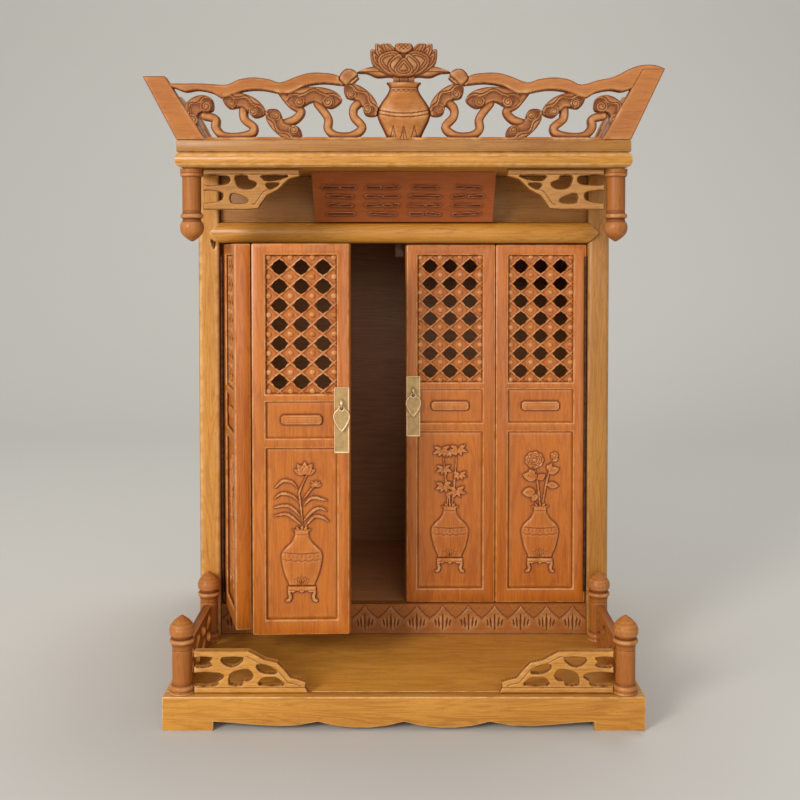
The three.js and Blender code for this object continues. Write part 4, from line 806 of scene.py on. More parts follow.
def carved_piece(name, made, place, node, slot, axis):
    """Puts a carved board in its place: place turns (across, height, up) in millimetres into X, Y, Z."""
    points, shades, faces = made
    placed = np.stack(place(points[:, 0], points[:, 1], points[:, 2]), 1) * MM
    mesh = bpy.data.meshes.new(name)
    mesh.from_pydata(placed.tolist(), [], faces)
    for label, values in (("stain_and_shade", shades[:, 0]), ("ridge", shades[:, 1])):
        mesh.attributes.new(label, "FLOAT", "POINT").data.foreach_set("value", values)
    grain = grain_place(placed, axis)
    mesh.attributes.new("grain", "FLOAT_VECTOR", "POINT").data.foreach_set("vector", grain.ravel())
    mesh.shade_smooth()
    mesh.set_sharp_from_angle(angle=CARVED_SHARP)
    sharpen(mesh, border_keys(points, faces))
    settle(name, mesh, node, slot)
    print(name, len(faces), "faces")


def set_at(start, front, foot):
    """The place of a board that faces forwards: its left end, its front and its foot."""
    return lambda u, h, v: (u + start, front - h, v + foot)


# %% [markdown]
# The crest is a pierced board on three sides of the top. A wavy rail runs over lingzhi scrolls, heads like
# clouds on curling stems, and a vase with a lotus stands in the middle of the front. The heads, the stems
# and the rail are each drawn once for the right half, as the real pair mirrors it, and the left tip is
# lower and cut level, as on the real one.

# %% Crest sizes
CREST_Z = highest("cap_board")[2] + 0.3
CREST_FRONT = lowest("cap_board")[1] + 1.0
CREST_THICK = 12.0
FRONT_HEADS = [
    [187, 26.5, 34, 22, -45], [144, 32, 40, 18, 20], [109, 13, 40, 18, -140],
    [81, 37.5, 50, 20, 0], [38, 36.5, 39, 18, 42],
]
FRONT_STEMS = [
    [[180, 22], [170.5, 19], [170, 11], [163, 4], [150, 3], [138, 6], [136, 12], [144, 19], [145, 28]],
    [[110, 43], [102, 33], [93, 26.5], [98, 19], [108, 15]],
    [[78, 33], [68.5, 20], [68.5, 10], [61, 4], [47, 4], [37.6, 11.6], [45, 21], [45, 29], [39, 35]],
]
RAIL_TOP = [
    [58, 57], [66, 59.5], [83, 60.2], [96, 57], [111, 51.5], [122, 54.5], [136, 56], [149, 54],
    [160, 49.5], [175, 53.5], [189, 56.5], [203, 63.5], [214, 67], [226, 67],
]
RAIL_BOTTOM = [
    [40, 56], [50, 49.5], [72, 51], [89, 48.5], [105, 41.5], [128, 45], [145, 44],
    [163, 38], [173, 42.5], [186, 45], [197, 43.5], [206, 46.5],
]
TIP_X = highest("crest_front")[0]
TIP_RIGHT = round(highest("crest_right")[2] - CREST_Z, 4)
TIP_LEFT = round(highest("crest_left")[2] - CREST_Z, 4)
LEVEL_FROM, LEVEL_EDGE = 165.0, [[181, 50.5], [215, 51], [235, 57]]
CREST_FOOT_X, STILE_FOOT, STILE_TOP = 204.8, 26.0, 20.0
HEAD_OUTLINE = [
    [-1, -.2], [-.8, .55], [-.3, .97], [.3, .97], [.8, .55], [1, -.2], [.6, -.9], [.12, -.35],
    [-.12, -.35], [-.6, -.9],
]
STEM_WIDTH = 7.6
HEAD_STAIN, LOTUS_STAIN, STEM_STAIN, KNOB_STAIN = 0.48, 0.50, 0.10, 0.42
KNOB = [[57.2, 58.9], [52.9, 63.3], [46.8, 63.6], [41.2, 58.9], [46.8, 52.9], [52, 49], [57.8, 53.7]]
VASE_HEIGHT, VASE_RADIUS, VASE_FLATNESS = 52.0, 24.0, 0.36
VASE_PROFILE = [
    [.60, 0], [.68, .08], [.80, .2], [.93, .32], [1, .43], [.97, .54], [.85, .65], [.68, .76], [.57, .85],
    [.55, .91], [.59, .96], [.68, 1],
]
print("crest from", round(CREST_Z, 1), "up to", round(CREST_Z + TIP_RIGHT, 1), "at its right tip")


# %% [markdown]
# A head is laid as a low dome. Two cuts follow its wavy lip, the wood under the lip is lowered, and two
# curls end in balls that a spiral cut winds round. The curved gouge leaves the balls highest. A stem is a
# line with a keel. The darker stain stays on the heads and the knob, which were carved first and handled
# least.

# %% A lingzhi head and a stem
def carve_head(board, x, z, width, height, degrees, top):
    tilt = math.radians(degrees)
    p = (board.u - x) * math.cos(tilt) + (board.v - z) * math.sin(tilt)
    q = -(board.u - x) * math.sin(tilt) + (board.v - z) * math.cos(tilt)
    half, high = width / 2, height / 2
    edge = smooth_line([[a * half, b * high] for a, b in HEAD_OUTLINE], 5, True)
    near = (np.abs(p) < width) & (np.abs(q) < height * 1.3)
    inside = np.full(p.shape, -9.0)
    inside[near] = polygon_distance(p[near], q[near], edge)
    dome = top - 1.2 * (p / half) ** 2 - 0.9 * np.clip(q / high, 0, 1) ** 2
    board.lay(inside, dome, 1.6)
    board.tint(inside, HEAD_STAIN)
    wave = 0.16 * high * np.cos(p / half * 2.5 * math.pi)
    curve = high * (0.42 - 0.75 * (p / half) ** 2) + wave
    for level, width_of_cut, depth in ((0.0, 1.5, 1.1), (2.6, 1.3, 0.9)):
        away = np.abs(q - curve - level) / np.sqrt(1 + (1.1 * p / half) ** 2)
        board.groove(away, width_of_cut, depth, inside > 1.0)
    under = (inside > 0) & (q < curve - 0.6)
    board.height = np.where(under, board.height - 0.9, board.height)
    for side in (-1, 1):
        across, up = p - side * 0.52 * half, q + 0.34 * high
        away, angle = np.hypot(across, up), np.arctan2(up, side * across)
        radius = 0.40 * high + 1.0
        ball = top - 0.9 + 0.9 * np.sqrt(np.clip(1 - (away / radius) ** 2, 0, 1))
        board.height = np.where((away < radius) & (inside > 0), ball, board.height)
        for turn in (0, 1):
            spiral = radius * (1.04 - 0.42 * (turn + (angle + math.pi) / (2 * math.pi)))
            board.groove(np.abs(away - spiral), 1.3, 1.0 - 0.3 * turn, inside > 0)


def carve_stem(board, points, width, top):
    away = line_distance(board.u, board.v, smooth_line(points))[0]
    inside = width / 2 - away
    keel = top - 1.0 * np.clip(away / (width / 2), 0, 1) ** 2.2
    board.add(inside, keel, 1.2)
    board.tint(inside, STEM_STAIN)


# %% The rail, the end stile and the knob of one half
def carve_rail(board, top_points, bottom_points, top):
    edge = [*smooth_line(top_points, 4), *smooth_line(bottom_points, 4)[::-1]]
    inside = polygon_distance(board.u, board.v, edge)
    board.lay(inside, top, 1.5)
    board.tint(inside, 0.0)


def carve_crest_half(board, side):
    left = side < 0
    tip = TIP_LEFT if left else TIP_RIGHT
    board.u = side * board.u
    for points in FRONT_STEMS:
        carve_stem(board, points, STEM_WIDTH, -1.6)
    for head in FRONT_HEADS:
        carve_head(board, *head, 0.2)
    if left:
        rail_top = [point for point in RAIL_TOP if point[0] < LEVEL_FROM] + LEVEL_EDGE
    else:
        rail_top = [*RAIL_TOP, [TIP_X, tip]]
    carve_rail(board, rail_top, RAIL_BOTTOM, 0.0)
    stile = [[CREST_FOOT_X - STILE_FOOT, 0], [CREST_FOOT_X, 0], [TIP_X, tip], [TIP_X - STILE_TOP, tip]]
    at_stile = polygon_distance(board.u, board.v, stile)
    board.lay(at_stile, 0.0, 1.3)
    board.tint(at_stile, 0.0)
    board.tint(carve_shape(board, KNOB, 0.2, 2.2, 0.8), KNOB_STAIN)
    board.u = side * board.u


# %% The vase and the lotus of the crest
def vase_radius(up):
    points = np.array(smooth_line([[r * VASE_RADIUS, h * VASE_HEIGHT] for r, h in VASE_PROFILE], 6))
    return np.interp(up, points[:, 1], points[:, 0])


def carve_crest_vase(board):
    radius = vase_radius(board.v)
    inside = np.minimum(radius - np.abs(board.u), np.minimum(board.v, VASE_HEIGHT - board.v) + 0.01)
    bulge = VASE_FLATNESS * np.sqrt(np.clip(radius**2 - board.u**2, 0, None)) - CREST_THICK / 2 + 0.4
    board.lay(inside, bulge, 0.8)
    board.tint(inside, 0.0)
    sag = 4.0 * (1 - (board.u / VASE_RADIUS) ** 2)
    wood = inside > 0
    for level in (27.5, 24.2):
        board.groove(np.abs(board.v - level + sag), 1.1, 0.8, wood)
    board.groove(np.abs(board.v - 47.2), 1.0, 0.7, wood)
    board.groove(np.abs(board.v - 45.6), 0.7, 0.4, wood)
    teeth = 43.4 + 1.5 * np.abs(((board.u / 4.6) % 1) * 2 - 1)
    board.groove(np.abs(board.v - teeth), 1.1, 0.6, wood)
    for across in (-9.5, 0, 9.5):
        leaf = 3.1 * (1 - board.v / 12.5) - np.abs(board.u - across)
        board.groove(np.abs(leaf), 1.0, 0.8, wood & (board.v < 13))
        board.groove(np.abs(board.u - across), 0.8, 0.5, wood & (board.v < 9))


def mirrored(points, side):
    return [[side * x, z] for x, z in points]


def carve_shape(board, corners, top, rounding, dome=0.0, rings=()):
    """A rounded form inside a smooth closed line, with grooves that follow its edge."""
    inside = polygon_distance(board.u, board.v, smooth_line(corners, closed=True))
    reach = max(inside.max(), 0.1)
    rise = dome * (1 - (1 - np.clip(inside / reach, 0, 1)) ** 2)
    board.lay(inside, top + rise, rounding)
    for ring in rings:
        board.groove(np.abs(inside - ring), 1.4, 0.85, inside > 0.3)
    board.groove(np.abs(inside + 0.1), 1.0, 0.6, board.inside > 0)
    return inside


LOTUS_OUTER = [
    [[0, 57], [-14, 58], [-27, 67], [-30, 74], [-29, 82], [-20, 76], [-8, 66]],
    [[0, 58], [-14, 66], [-24, 76], [-26, 84], [-24, 87], [-16, 82], [-4, 70]],
    [[-2, 62], [-12, 72], [-19, 82], [-19.5, 89], [-15, 88.5], [-8, 82], [0, 72]],
]
LOTUS_CUP = [[0, 57.5], [-12, 58.5], [-20, 64], [-23.5, 71], [-20, 77], [-10, 80], [-3, 77], [-1, 68]]
LOTUS_INNER = [[0, 57.5], [-8, 58], [-13.5, 63], [-14, 69], [-9, 74.5], [-3, 77], [0, 70]]
LOTUS_HEART = [[0, 57], [-6, 58.5], [-8.6, 63], [-6, 68], [0, 73.5], [6, 68], [8.6, 63], [6, 58.5]]
SIDE_LEAF = [[4, 54], [12, 57], [24, 56.5], [33, 60], [42, 61], [33, 65], [22, 66.5], [10, 63]]
POD_MIDDLE, POD_WIDE, POD_HIGH = 83.0, 8.4, 5.4


def carve_lotus(board):
    behind = (1 - np.hypot(board.u / 15.0, (board.v - 70.0) / 13.5)) * 13.0
    board.lay(behind, -2.2, 1.0)
    for side in (-1, 1):
        leaf = carve_shape(board, mirrored(SIDE_LEAF, side), -2.4, 1.2, 0.8)
        vein = line_distance(board.u, board.v, mirrored([[8, 59], [24, 61.5], [40, 61]], side))[0]
        board.groove(vein, 0.9, 0.7, leaf > 0.4)
    stalk = np.minimum(9.5 - np.abs(board.u), np.minimum(board.v - 49, 60 - board.v))
    board.lay(stalk, -1.6, 1.0)
    board.groove(np.abs(np.abs(board.u) - 4), 1.0, 0.8, stalk > 0)
    for side in (-1, 1):
        for number, petal in enumerate(LOTUS_OUTER):
            carve_shape(board, mirrored(petal, -side), -1.8 + 0.3 * number, 1.2, 0.9, (2.3, 4.6))
    pod = np.hypot(board.u / POD_WIDE, (board.v - POD_MIDDLE) / POD_HIGH)
    board.lay((1 - pod) * 5.5, 0.6, 2.2)
    seeds = np.cos(board.u * 1.7) * np.cos((board.v - POD_MIDDLE) * 1.9)
    board.height = board.height + 0.5 * seeds * (pod < 0.8)
    board.groove(np.abs(pod - 0.98) * 6, 1.4, 1.2, pod < 1.3)
    for side in (-1, 1):
        carve_shape(board, mirrored(LOTUS_CUP, -side), -0.8, 1.2, 1.4, (2.3, 4.6))
    for side in (-1, 1):
        carve_shape(board, mirrored(LOTUS_INNER, -side), 0.0, 1.2, 1.2, (2.3,))
    carve_shape(board, LOTUS_HEART, 0.6, 1.2, 1.0, (2.2, 4.4))
    board.tint(np.where(board.v > 52.5, 34.0 - np.abs(board.u), -1.0), LOTUS_STAIN)


# %% [markdown]
# The two halves of the front are carved on boards of their own, so that the mirrored scrolls never meet
# across the middle, and then joined. The lotus and the vase go over the joint.

# %% The front of the crest
CREST_TALL = highest("crest_front")[2] - CREST_Z
CREST_STEP, FOOT_STRIP = 0.66, 2.6
crest = Carving((-TIP_X, 0.0), (TIP_X, CREST_TALL), CREST_STEP)
for side in (-1, 1):
    half_board = Carving((-TIP_X, 0.0), (TIP_X, CREST_TALL), CREST_STEP)
    carve_crest_half(half_board, side)
    mine = crest.u >= 0 if side > 0 else crest.u < 0
    crest.inside = np.where(mine, half_board.inside, crest.inside)
    crest.height = np.where(mine, half_board.height, crest.height)
    crest.stain = np.where(mine, half_board.stain, crest.stain)
carve_lotus(crest)
carve_crest_vase(crest)
foot_strip = np.minimum(FOOT_STRIP - crest.v, CREST_FOOT_X - 1 - np.abs(crest.u))
crest.add(np.minimum(foot_strip, crest.v + 1), -0.6, 0.6)
crest.inside = np.minimum(crest.inside, crest.v + 0.3)
carved_piece(
    "crest_front_carved", carved_mesh(crest, CREST_THICK - 0.5), set_at(0.0, CREST_FRONT, CREST_Z),
    "crest_front", "carved_wood", "x",
)

# %% [markdown]
# The left stile has lost a splinter beside the end of the top rail. It is cut as a carved board too, with
# rounded edges, so that the broken place can be sunk into it.

# %% The chipped stile
STILE_ROUND, CHIP_DEPTH, CHIP_STAIN = 4.0, 4.5, 0.7
CHIP = [[11.4, 396.4], [18.4, 392.6], [17.2, 387], [15.4, 384], [13.6, 388.2], [12.6, 391]]


def carve_stile():
    low, high = lowest("stile_left"), highest("stile_left")
    wide, deep, tall = high - low
    board = Carving((0.0, 0.0), (wide, tall), 1.0)
    board.whole_board()
    edge = np.minimum(board.u, wide - board.u)
    eased = np.clip(1 - edge / STILE_ROUND, 0, 1)
    board.height = -STILE_ROUND * (1 - np.sqrt(1 - eased**2))
    chip = polygon_distance(board.u, board.v, CHIP)
    splinter = np.clip(chip / 1.6, 0, 1) * (0.7 + 0.3 * np.sin(board.u * 4.1))
    board.height = board.height - CHIP_DEPTH * splinter
    board.stain = CHIP_STAIN * np.clip(chip / 0.8, 0, 1)
    edge = np.minimum(edge, np.minimum(board.v, tall - board.v))
    board.inside = np.minimum(board.inside, edge + 0.01)
    return carved_mesh(board, deep, 0.9)


carved_piece(
    "stile_left_carved", carve_stile(), set_at(*lowest("stile_left")), "stile_left", "frame_wood", "z",
)

# %% [markdown]
# The side boards of the crest carry the same scrolls. Each leans outward as it rises, to follow the end
# of the front board. They are drawn along their length and the lean is added as they are put in place.

# %% The sides of the crest
SIDE_LENGTH, SIDE_THICK = round(highest("crest_left")[1] - lowest("crest_left")[1], 4), 10.0
SIDE_START = CREST_FRONT + CREST_THICK + 0.3
SIDE_HEADS = [[50, 31, 36, 19, -35], [85, 31, 36, 19, 35], [124, 31, 36, 19, -35], [160, 31, 36, 19, 35]]
SIDE_STEMS = [
    [[52, 28], [46, 14], [54, 5], [67, 3.5], [80, 5], [88, 14], [83, 28]],
    [[126, 28], [120, 14], [128, 5], [142, 3.5], [156, 5], [164, 14], [158, 28]],
]
SIDE_RAIL_TOP = [[36, 51], [60, 55], [85, 50.5], [116, 56], [146, 50.5], [174, 54.5], [200, 47]]
SIDE_RAIL_BOTTOM = [[20, 44], [60, 45], [85, 40.5], [116, 46], [146, 40.5], [174, 45], [200, 37]]
SIDE_STEP = 0.85


def carve_crest_side(side, tip):
    board = Carving((0.0, 0.0), (SIDE_LENGTH, tip), SIDE_STEP)
    drawn = board.u
    board.u = drawn if side > 0 else SIDE_LENGTH - drawn
    for points in SIDE_STEMS:
        carve_stem(board, points, STEM_WIDTH, -1.2)
    for head in SIDE_HEADS:
        carve_head(board, *head, 0.0)
    rail_top = [[0, tip], [12, tip], *SIDE_RAIL_TOP]
    carve_rail(board, rail_top, SIDE_RAIL_BOTTOM, 0.0)
    end = SIDE_LENGTH
    front_post = [[0, 0], [22, 0], [22, 47], [0, tip]]
    back_post = [[end - 12, 0], [end, 0], [end, 40], [end - 12, 42]]
    foot_strip = [[0, 0], [end, 0], [end, FOOT_STRIP], [0, FOOT_STRIP]]
    for frame_part in (front_post, back_post, foot_strip):
        board.lay(polygon_distance(board.u, board.v, frame_part), 0.0, 1.2)
    board.u = drawn
    lean = (TIP_X - CREST_FOOT_X) / tip

    def place(u, h, v):
        along = u if side > 0 else SIDE_LENGTH - u
        return side * (CREST_FOOT_X + lean * v + h - 0.2), SIDE_START + along, v + CREST_Z
    word = "right" if side > 0 else "left"
    carved_piece(
        "crest_" + word + "_carved", carved_mesh(board, SIDE_THICK - 0.4), place,
        "crest_" + word, "carved_wood", "y",
    )


carve_crest_side(1, TIP_RIGHT)
carve_crest_side(-1, TIP_LEFT)

# %% [markdown]
# Brackets under the cornice and rails beside the steps are flat nets of branches. The saw leaves them
# flat, a knife rounds their edges, and one line follows the stepped top. Each opening is a few corners,
# measured from the post that the board stands against, and smoothed into a curve.

# %% Pierced boards
BRACKET_EDGE = [
    [0, 0], [88, 0], [88, -6.5], [78, -9.5], [68, -19], [58, -24.4], [50, -36], [40, -37], [0, -37],
]
BRACKET_OPENINGS = [
    [[-2, -6], [20, -6], [24.5, -8.5], [23.6, -12.5], [17, -14.4], [-2, -14.2]],
    [[29.8, -6], [40.3, -6], [41.2, -9.5], [48.5, -12.5], [47, -16.5], [41, -18.4], [33, -17], [29.8, -12]],
    [[54, -5.8], [77, -5.8], [74, -8.4], [64, -11], [57, -10.8], [54, -8.5]],
    [[57, -14.5], [60.5, -18.6], [66, -16.6], [69.5, -13.6], [66, -12.6], [60, -12.4]],
    [[-2, -20], [11, -20], [18, -22.4], [17, -28], [9, -30.2], [-2, -30]],
    [[25.4, -22.6], [33, -23.6], [41, -28], [38, -31], [25.4, -30.6]],
]
CORNER_EDGE = [
    [0, 0], [99, 0], [96.5, 5.2], [97, 9.6], [90.5, 12], [84, 13.4], [80, 18.5], [72, 26.8], [61, 29.2],
    [54, 33.2], [47, 36.7], [0, 36.7],
]
CORNER_OPENINGS = [
    [[-2, 31], [15.6, 31], [13.2, 27.6], [15.6, 24.5], [10.7, 22.4], [-2, 23]],
    [[24.5, 31], [42.8, 31], [38.5, 24.8], [32, 22.8], [25, 26]],
    [[38, 19.6], [46.9, 20.6], [51.2, 15.2], [48, 11], [42.5, 10.4], [41.5, 6.8], [30.5, 7], [31.5, 16.5]],
    [[-2, 17.4], [22, 17.4], [25.5, 13.6], [20.6, 10.4], [18.9, 6.4], [-2, 6.4]],
    [[54.5, 24.6], [62.5, 24.4], [71.5, 19.6], [70, 16.6], [60.5, 17.4], [55, 20.6]],
    [[57, 6.6], [77.5, 6.6], [74.8, 11], [69.9, 13.8], [60.5, 13.4], [57, 10.5]],
]
# The brackets are darkened all over by a fixed share of the dark colour.
RIM_LINE, FOOT_LINE, NET_STEP, BRACKET_DARKENING = 4.6, 4.4, 0.5, 0.38


def carve_net(board, edge, openings, stain):
    """A flat pierced board with its edges rounded and a line that follows its stepped side."""
    outline = polygon_distance(board.u, board.v, edge)
    board.add(outline, 0.0, 0.5)
    for opening in openings:
        board.pierce(polygon_distance(board.u, board.v, smooth_line(opening, 2, True)))
    board.inside = np.minimum(board.inside, np.minimum(board.u, 99.0) + 0.01)
    slope = (board.u > 44) & (np.abs(board.v) > FOOT_LINE + 0.8)
    board.groove(np.abs(outline - RIM_LINE), 1.0, 0.5, slope)
    board.groove(np.abs(np.abs(board.v) - FOOT_LINE - 0.4), 1.0, 0.5)
    knife = np.sin(board.u * 0.5 + 2.0 * np.sin(board.v * 0.3)) * np.sin(board.v * 0.55)
    board.height = board.height - 0.12 * np.clip(knife, 0, 1)
    board.stain[:] = stain
    board.ease_edges(1.6, 1.0)


def carve_pair(part, edge, openings, stain, back, strength):
    """Cuts the left board of a pair from its drawing, and the right one as its mirror image."""
    low, high = lowest(part + "left"), highest(part + "left")
    wide = round(high[0] - low[0], 4)
    levels = [z for x, z in edge]
    for word in ("left", "right"):
        board = Carving((0.0, min(levels)), (wide, max(levels)), NET_STEP)
        drawn = board.u
        board.u = drawn if word == "left" else wide - drawn
        carve_net(board, edge, openings, stain)
        board.u = drawn
        place = set_at(lowest(part + word)[0], low[1], low[2] - min(levels))
        made = carved_mesh(board, back, strength)
        carved_piece(part + word + "_carved", made, place, part + word, "frame_wood", "x")


carve_pair("bracket_", BRACKET_EDGE, BRACKET_OPENINGS, BRACKET_DARKENING, 6.8, 0.9)
carve_pair("corner_rail_", CORNER_EDGE, CORNER_OPENINGS, 0.0, 7.8, 1.2)

# %% [markdown]
# The side rails of the porch are nets of the same kind, between two posts. Little of them shows, so the
# openings are drawn by a rule: two slanting holes above each other in every bay, each a little uneven.

# %% Side rails of the porch
OPENING_TILT, BAY, RAIL_STEP = 0.35, 30.0, 0.75
RAIL_TALL = round(highest("side_rail_left")[2] - lowest("side_rail_left")[2], 4)


def opening_distance(board, x, z, width, height, tilt):
    across = (board.u - x) * math.cos(tilt) + (board.v - z) * math.sin(tilt)
    up = -(board.u - x) * math.sin(tilt) + (board.v - z) * math.cos(tilt)
    wobble = 1 + 0.10 * np.sin(3 * np.arctan2(up, across) + x)
    share = (np.abs(across / (width / 2)) ** 2.6 + np.abs(up / (height / 2)) ** 2.6) ** (1 / 2.6)
    return (wobble - share) * min(width, height) / 2


for word, side in (("left", -1), ("right", 1)):
    low, high = lowest("side_rail_" + word), highest("side_rail_" + word)
    length = high[1] - low[1]
    bays = max(2, round(length / BAY))
    bay = length / bays
    board = Carving((0.0, 0.0), (length, RAIL_TALL), RAIL_STEP)
    board.whole_board()
    board.stain[:] = 0.25
    edge = np.minimum(np.minimum(board.u, length - board.u), np.minimum(board.v, RAIL_TALL - board.v))
    for i in range(bays):
        swing = OPENING_TILT if i % 2 else -OPENING_TILT
        for level, tall, tilt in ((0.7, 0.28, swing), (0.3, 0.26, -swing)):
            board.pierce(opening_distance(
                board, (i + 0.5) * bay, RAIL_TALL * level, bay * 0.72, RAIL_TALL * tall, tilt,
            ))
    board.inside = np.minimum(board.inside, edge + 0.01)
    near_hole = np.clip(1 - board.inside / 2.4, 0, 1)
    board.height = board.height - 1.4 * near_hole * (edge > 2.4)
    board.groove(np.abs(edge - 3.0), 1.0, 0.6)
    board.ease_edges(0.9, 0.6)
    outer = high[0] if side > 0 else low[0]

    def place(u, h, v, side=side, outer=outer, low=low, high=high):
        return outer + side * h, (low[1] + u if side > 0 else high[1] - u), v + low[2]
    carved_piece(
        "side_rail_" + word + "_carved", carved_mesh(board, 7.9, 1.2), place,
        "side_rail_" + word, "carved_wood", "y",
    )

# %% [markdown]
# The newels and the hanging posts are turned on a lathe: a foot ring, a plain shaft, a double collar and
# a pointed ball scored with rings. A lathe only knows a radius at every height, so that is all that is
# drawn: the profile, smoothed, less the grooves of the turning tool.


# %% Turned posts
TURNED_STAIN = 0.14


def turned_piece(name, node, profile, grooves, sides=44, rows=150):
    low, high = lowest(node), highest(node)
    middle = (low + high) / 2
    height = high[2] - low[2]
    drawn = np.array(smooth_line([[r, z * height] for r, z in profile], 8))
    travelled = np.concatenate([[0], np.cumsum(np.hypot(*np.diff(drawn, axis=0).T))])
    places = np.linspace(0, travelled[-1], rows)
    radius = np.interp(places, travelled, drawn[:, 0])
    level = np.interp(places, travelled, drawn[:, 1])
    for share, width, depth in grooves:
        radius = radius - depth * np.clip(1 - ((level - share * height) / (width / 2)) ** 2, 0, 1)
    radius = np.clip(radius, 0.0, None)
    radius[0] = radius[-1] = 0.0
    near = np.convolve(np.pad(radius, 5, mode="edge"), np.ones(11) / 11, mode="valid")
    # The grooves are darkened as painted shade over an even stain, and the rings that stand out are paled
    # as wear and as a painted highlight.
    stain_and_shade = np.clip((near - radius) / 0.8 + TURNED_STAIN, 0, 1)
    ridge = np.clip((radius - near) / 0.8, 0, 1)
    points = [[middle[0], middle[1], low[2]]]
    shades = [[0.0, 0.0]]
    for row in range(1, rows - 1):
        for step in range(sides):
            angle = 2 * math.pi * step / sides
            points.append([
                middle[0] + radius[row] * math.cos(angle), middle[1] + radius[row] * math.sin(angle),
                low[2] + level[row],
            ])
            shades.append([stain_and_shade[row], ridge[row]])
    points.append([middle[0], middle[1], high[2]])
    shades.append([0.0, 0.0])
    faces = [[0, 1 + (step + 1) % sides, 1 + step] for step in range(sides)]
    for row in range(rows - 3):
        first = 1 + row * sides
        for step in range(sides):
            after = (step + 1) % sides
            faces.append([first + step, first + after, first + sides + after, first + sides + step])
    last = 1 + (rows - 3) * sides
    faces += [[last + step, last + (step + 1) % sides, len(points) - 1] for step in range(sides)]
    made = np.array(points), np.array(shades), faces
    carved_piece(name, made, lambda x, y, z: (x, y, z), node, "carved_wood", "z")


NEWEL_PROFILE = [
    [0, 0], [10.4, 0], [10.5, .02], [10.5, .075], [9.6, .10], [8.6, .115], [8.6, .2], [8.6, .5], [8.7, .60],
    [9.4, .635], [10.6, .655], [10.9, .675], [10.3, .695], [8.8, .71], [9.9, .735], [10.9, .775],
    [11, .805], [10.2, .86], [7.6, .915], [3.9, .962], [1.3, .99], [0, 1],
]
NEWEL_GROOVES = [
    (.735, 1.6, .5), (.79, 1.2, .25), (.85, 1.2, .25), (.90, 1.2, .2), (.04, 1.0, .3), (.56, 1.2, .4),
]
PENDANT_PROFILE = [
    [0, 0], [1.6, .008], [5.2, .045], [9.4, .11], [10.8, .18], [10.2, .245], [8.3, .30], [8.6, .315],
    [10.2, .33], [10.4, .35], [10.1, .375], [8.6, .395], [8.6, .5], [8.6, .86], [8.8, .885],
    [10.2, .905], [10.4, .93], [10.4, .99], [10.2, 1], [0, 1],
]
PENDANT_GROOVES = [(.275, 1.4, .5), (.94, 1.0, .4), (.42, 1.0, .3)]
for word in ("left", "right"):
    for part in ("newel_front_", "newel_back_"):
        turned_piece(part + word + "_turned", part + word, NEWEL_PROFILE, NEWEL_GROOVES)
    turned_piece("pendant_" + word + "_turned", "pendant_" + word, PENDANT_PROFILE, PENDANT_GROOVES)

# %% [markdown]
# A door leaf is drawn flat, from its lower left corner as seen from the front, and then carried to where
# it hangs. The right pair is closed. The left pair is folded part open, so its leaves are turned about
# the jamb and about the fold, which are the hinges' own places in the model.

# %% Where each leaf hangs
CLOSED_LOW, CLOSED_HIGH = lowest("leaf_frame_right_inner"), highest("leaf_frame_right_inner")
LEAF_FOOT = CLOSED_LOW[2]
LEAF_WIDE, LEAF_STILE = float(round(CLOSED_HIGH[0] - CLOSED_LOW[0], 4)), 12.5
PANEL_FACE, PANEL_BACK, GROOVE = 3.0, 6.0, 2.5
OPEN_ANGLE, FOLD_ANGLE = math.radians(75), math.radians(77)
JAMB = JOINT_PLACES["left_outer_hinge"]
FOLD_FROM_JAMB = (89.2, 19.0)
OUTER_FROM_JAMB, INNER_FROM_FOLD = (-1.05, 2.0), (0.25, -17.0)


def turned_by(angle, x, y):
    return x * math.cos(angle) - y * math.sin(angle), x * math.sin(angle) + y * math.cos(angle)


def leaf_place(word):
    """Turns (across the leaf, height over its panels, up) into X, Y, Z."""
    start, front, _ = lowest("leaf_frame_" + word)

    def place(u, h, v):
        x, y = u, PANEL_FACE - h
        if word.startswith("right"):
            return x + start, y + front, v + LEAF_FOOT
        if word == "left_inner":
            x, y = turned_by(FOLD_ANGLE, x + INNER_FROM_FOLD[0], y + INNER_FROM_FOLD[1])
            x, y = x + FOLD_FROM_JAMB[0], y + FOLD_FROM_JAMB[1]
        else:
            x, y = x + OUTER_FROM_JAMB[0], y + OUTER_FROM_JAMB[1]
        x, y = turned_by(-OPEN_ANGLE, x, y)
        return x + JAMB[0], y + JAMB[1], v + LEAF_FOOT
    return place


def panel_board(low, height, step):
    board = Carving(
        (LEAF_STILE - GROOVE, low - GROOVE), (LEAF_WIDE - LEAF_STILE + GROOVE, low + height + GROOVE), step,
    )
    board.whole_board()
    edge = np.minimum(board.u - LEAF_STILE, LEAF_WIDE - LEAF_STILE - board.u)
    edge = np.minimum(edge, np.minimum(board.v - low, low + height - board.v))
    return board, edge


print("a leaf is", LEAF_WIDE, "mm wide and stands", round(LEAF_FOOT, 1), "mm above the ground")

# %% [markdown]
# The lattice is a net of thin ribs that cross between dark pointed holes, with a round boss in every
# diamond. The net is carved here. The bosses are alike, so Geometry Nodes place them: a grid of points,
# one small dome on each, made real and given its wood.

# %% Lattices
LATTICE_LOW, LATTICE_HIGH = 221.5, 127.0
COLUMNS, ROWS, MARGIN = 3, 7, 0.27
HOLE = (14.3, 13.7)
STEP_X = (LEAF_WIDE - 2 * LEAF_STILE) / (COLUMNS + MARGIN)
STEP_Z = LATTICE_HIGH / (ROWS + MARGIN)
BOSS_RADIUS, BOSS_HEIGHT, BOSS_SUNK, BOSS_OVERLAP = 2.9, 1.6, 1.0, 0.2
DOME_SEGMENTS, DOME_RINGS = 14, 8


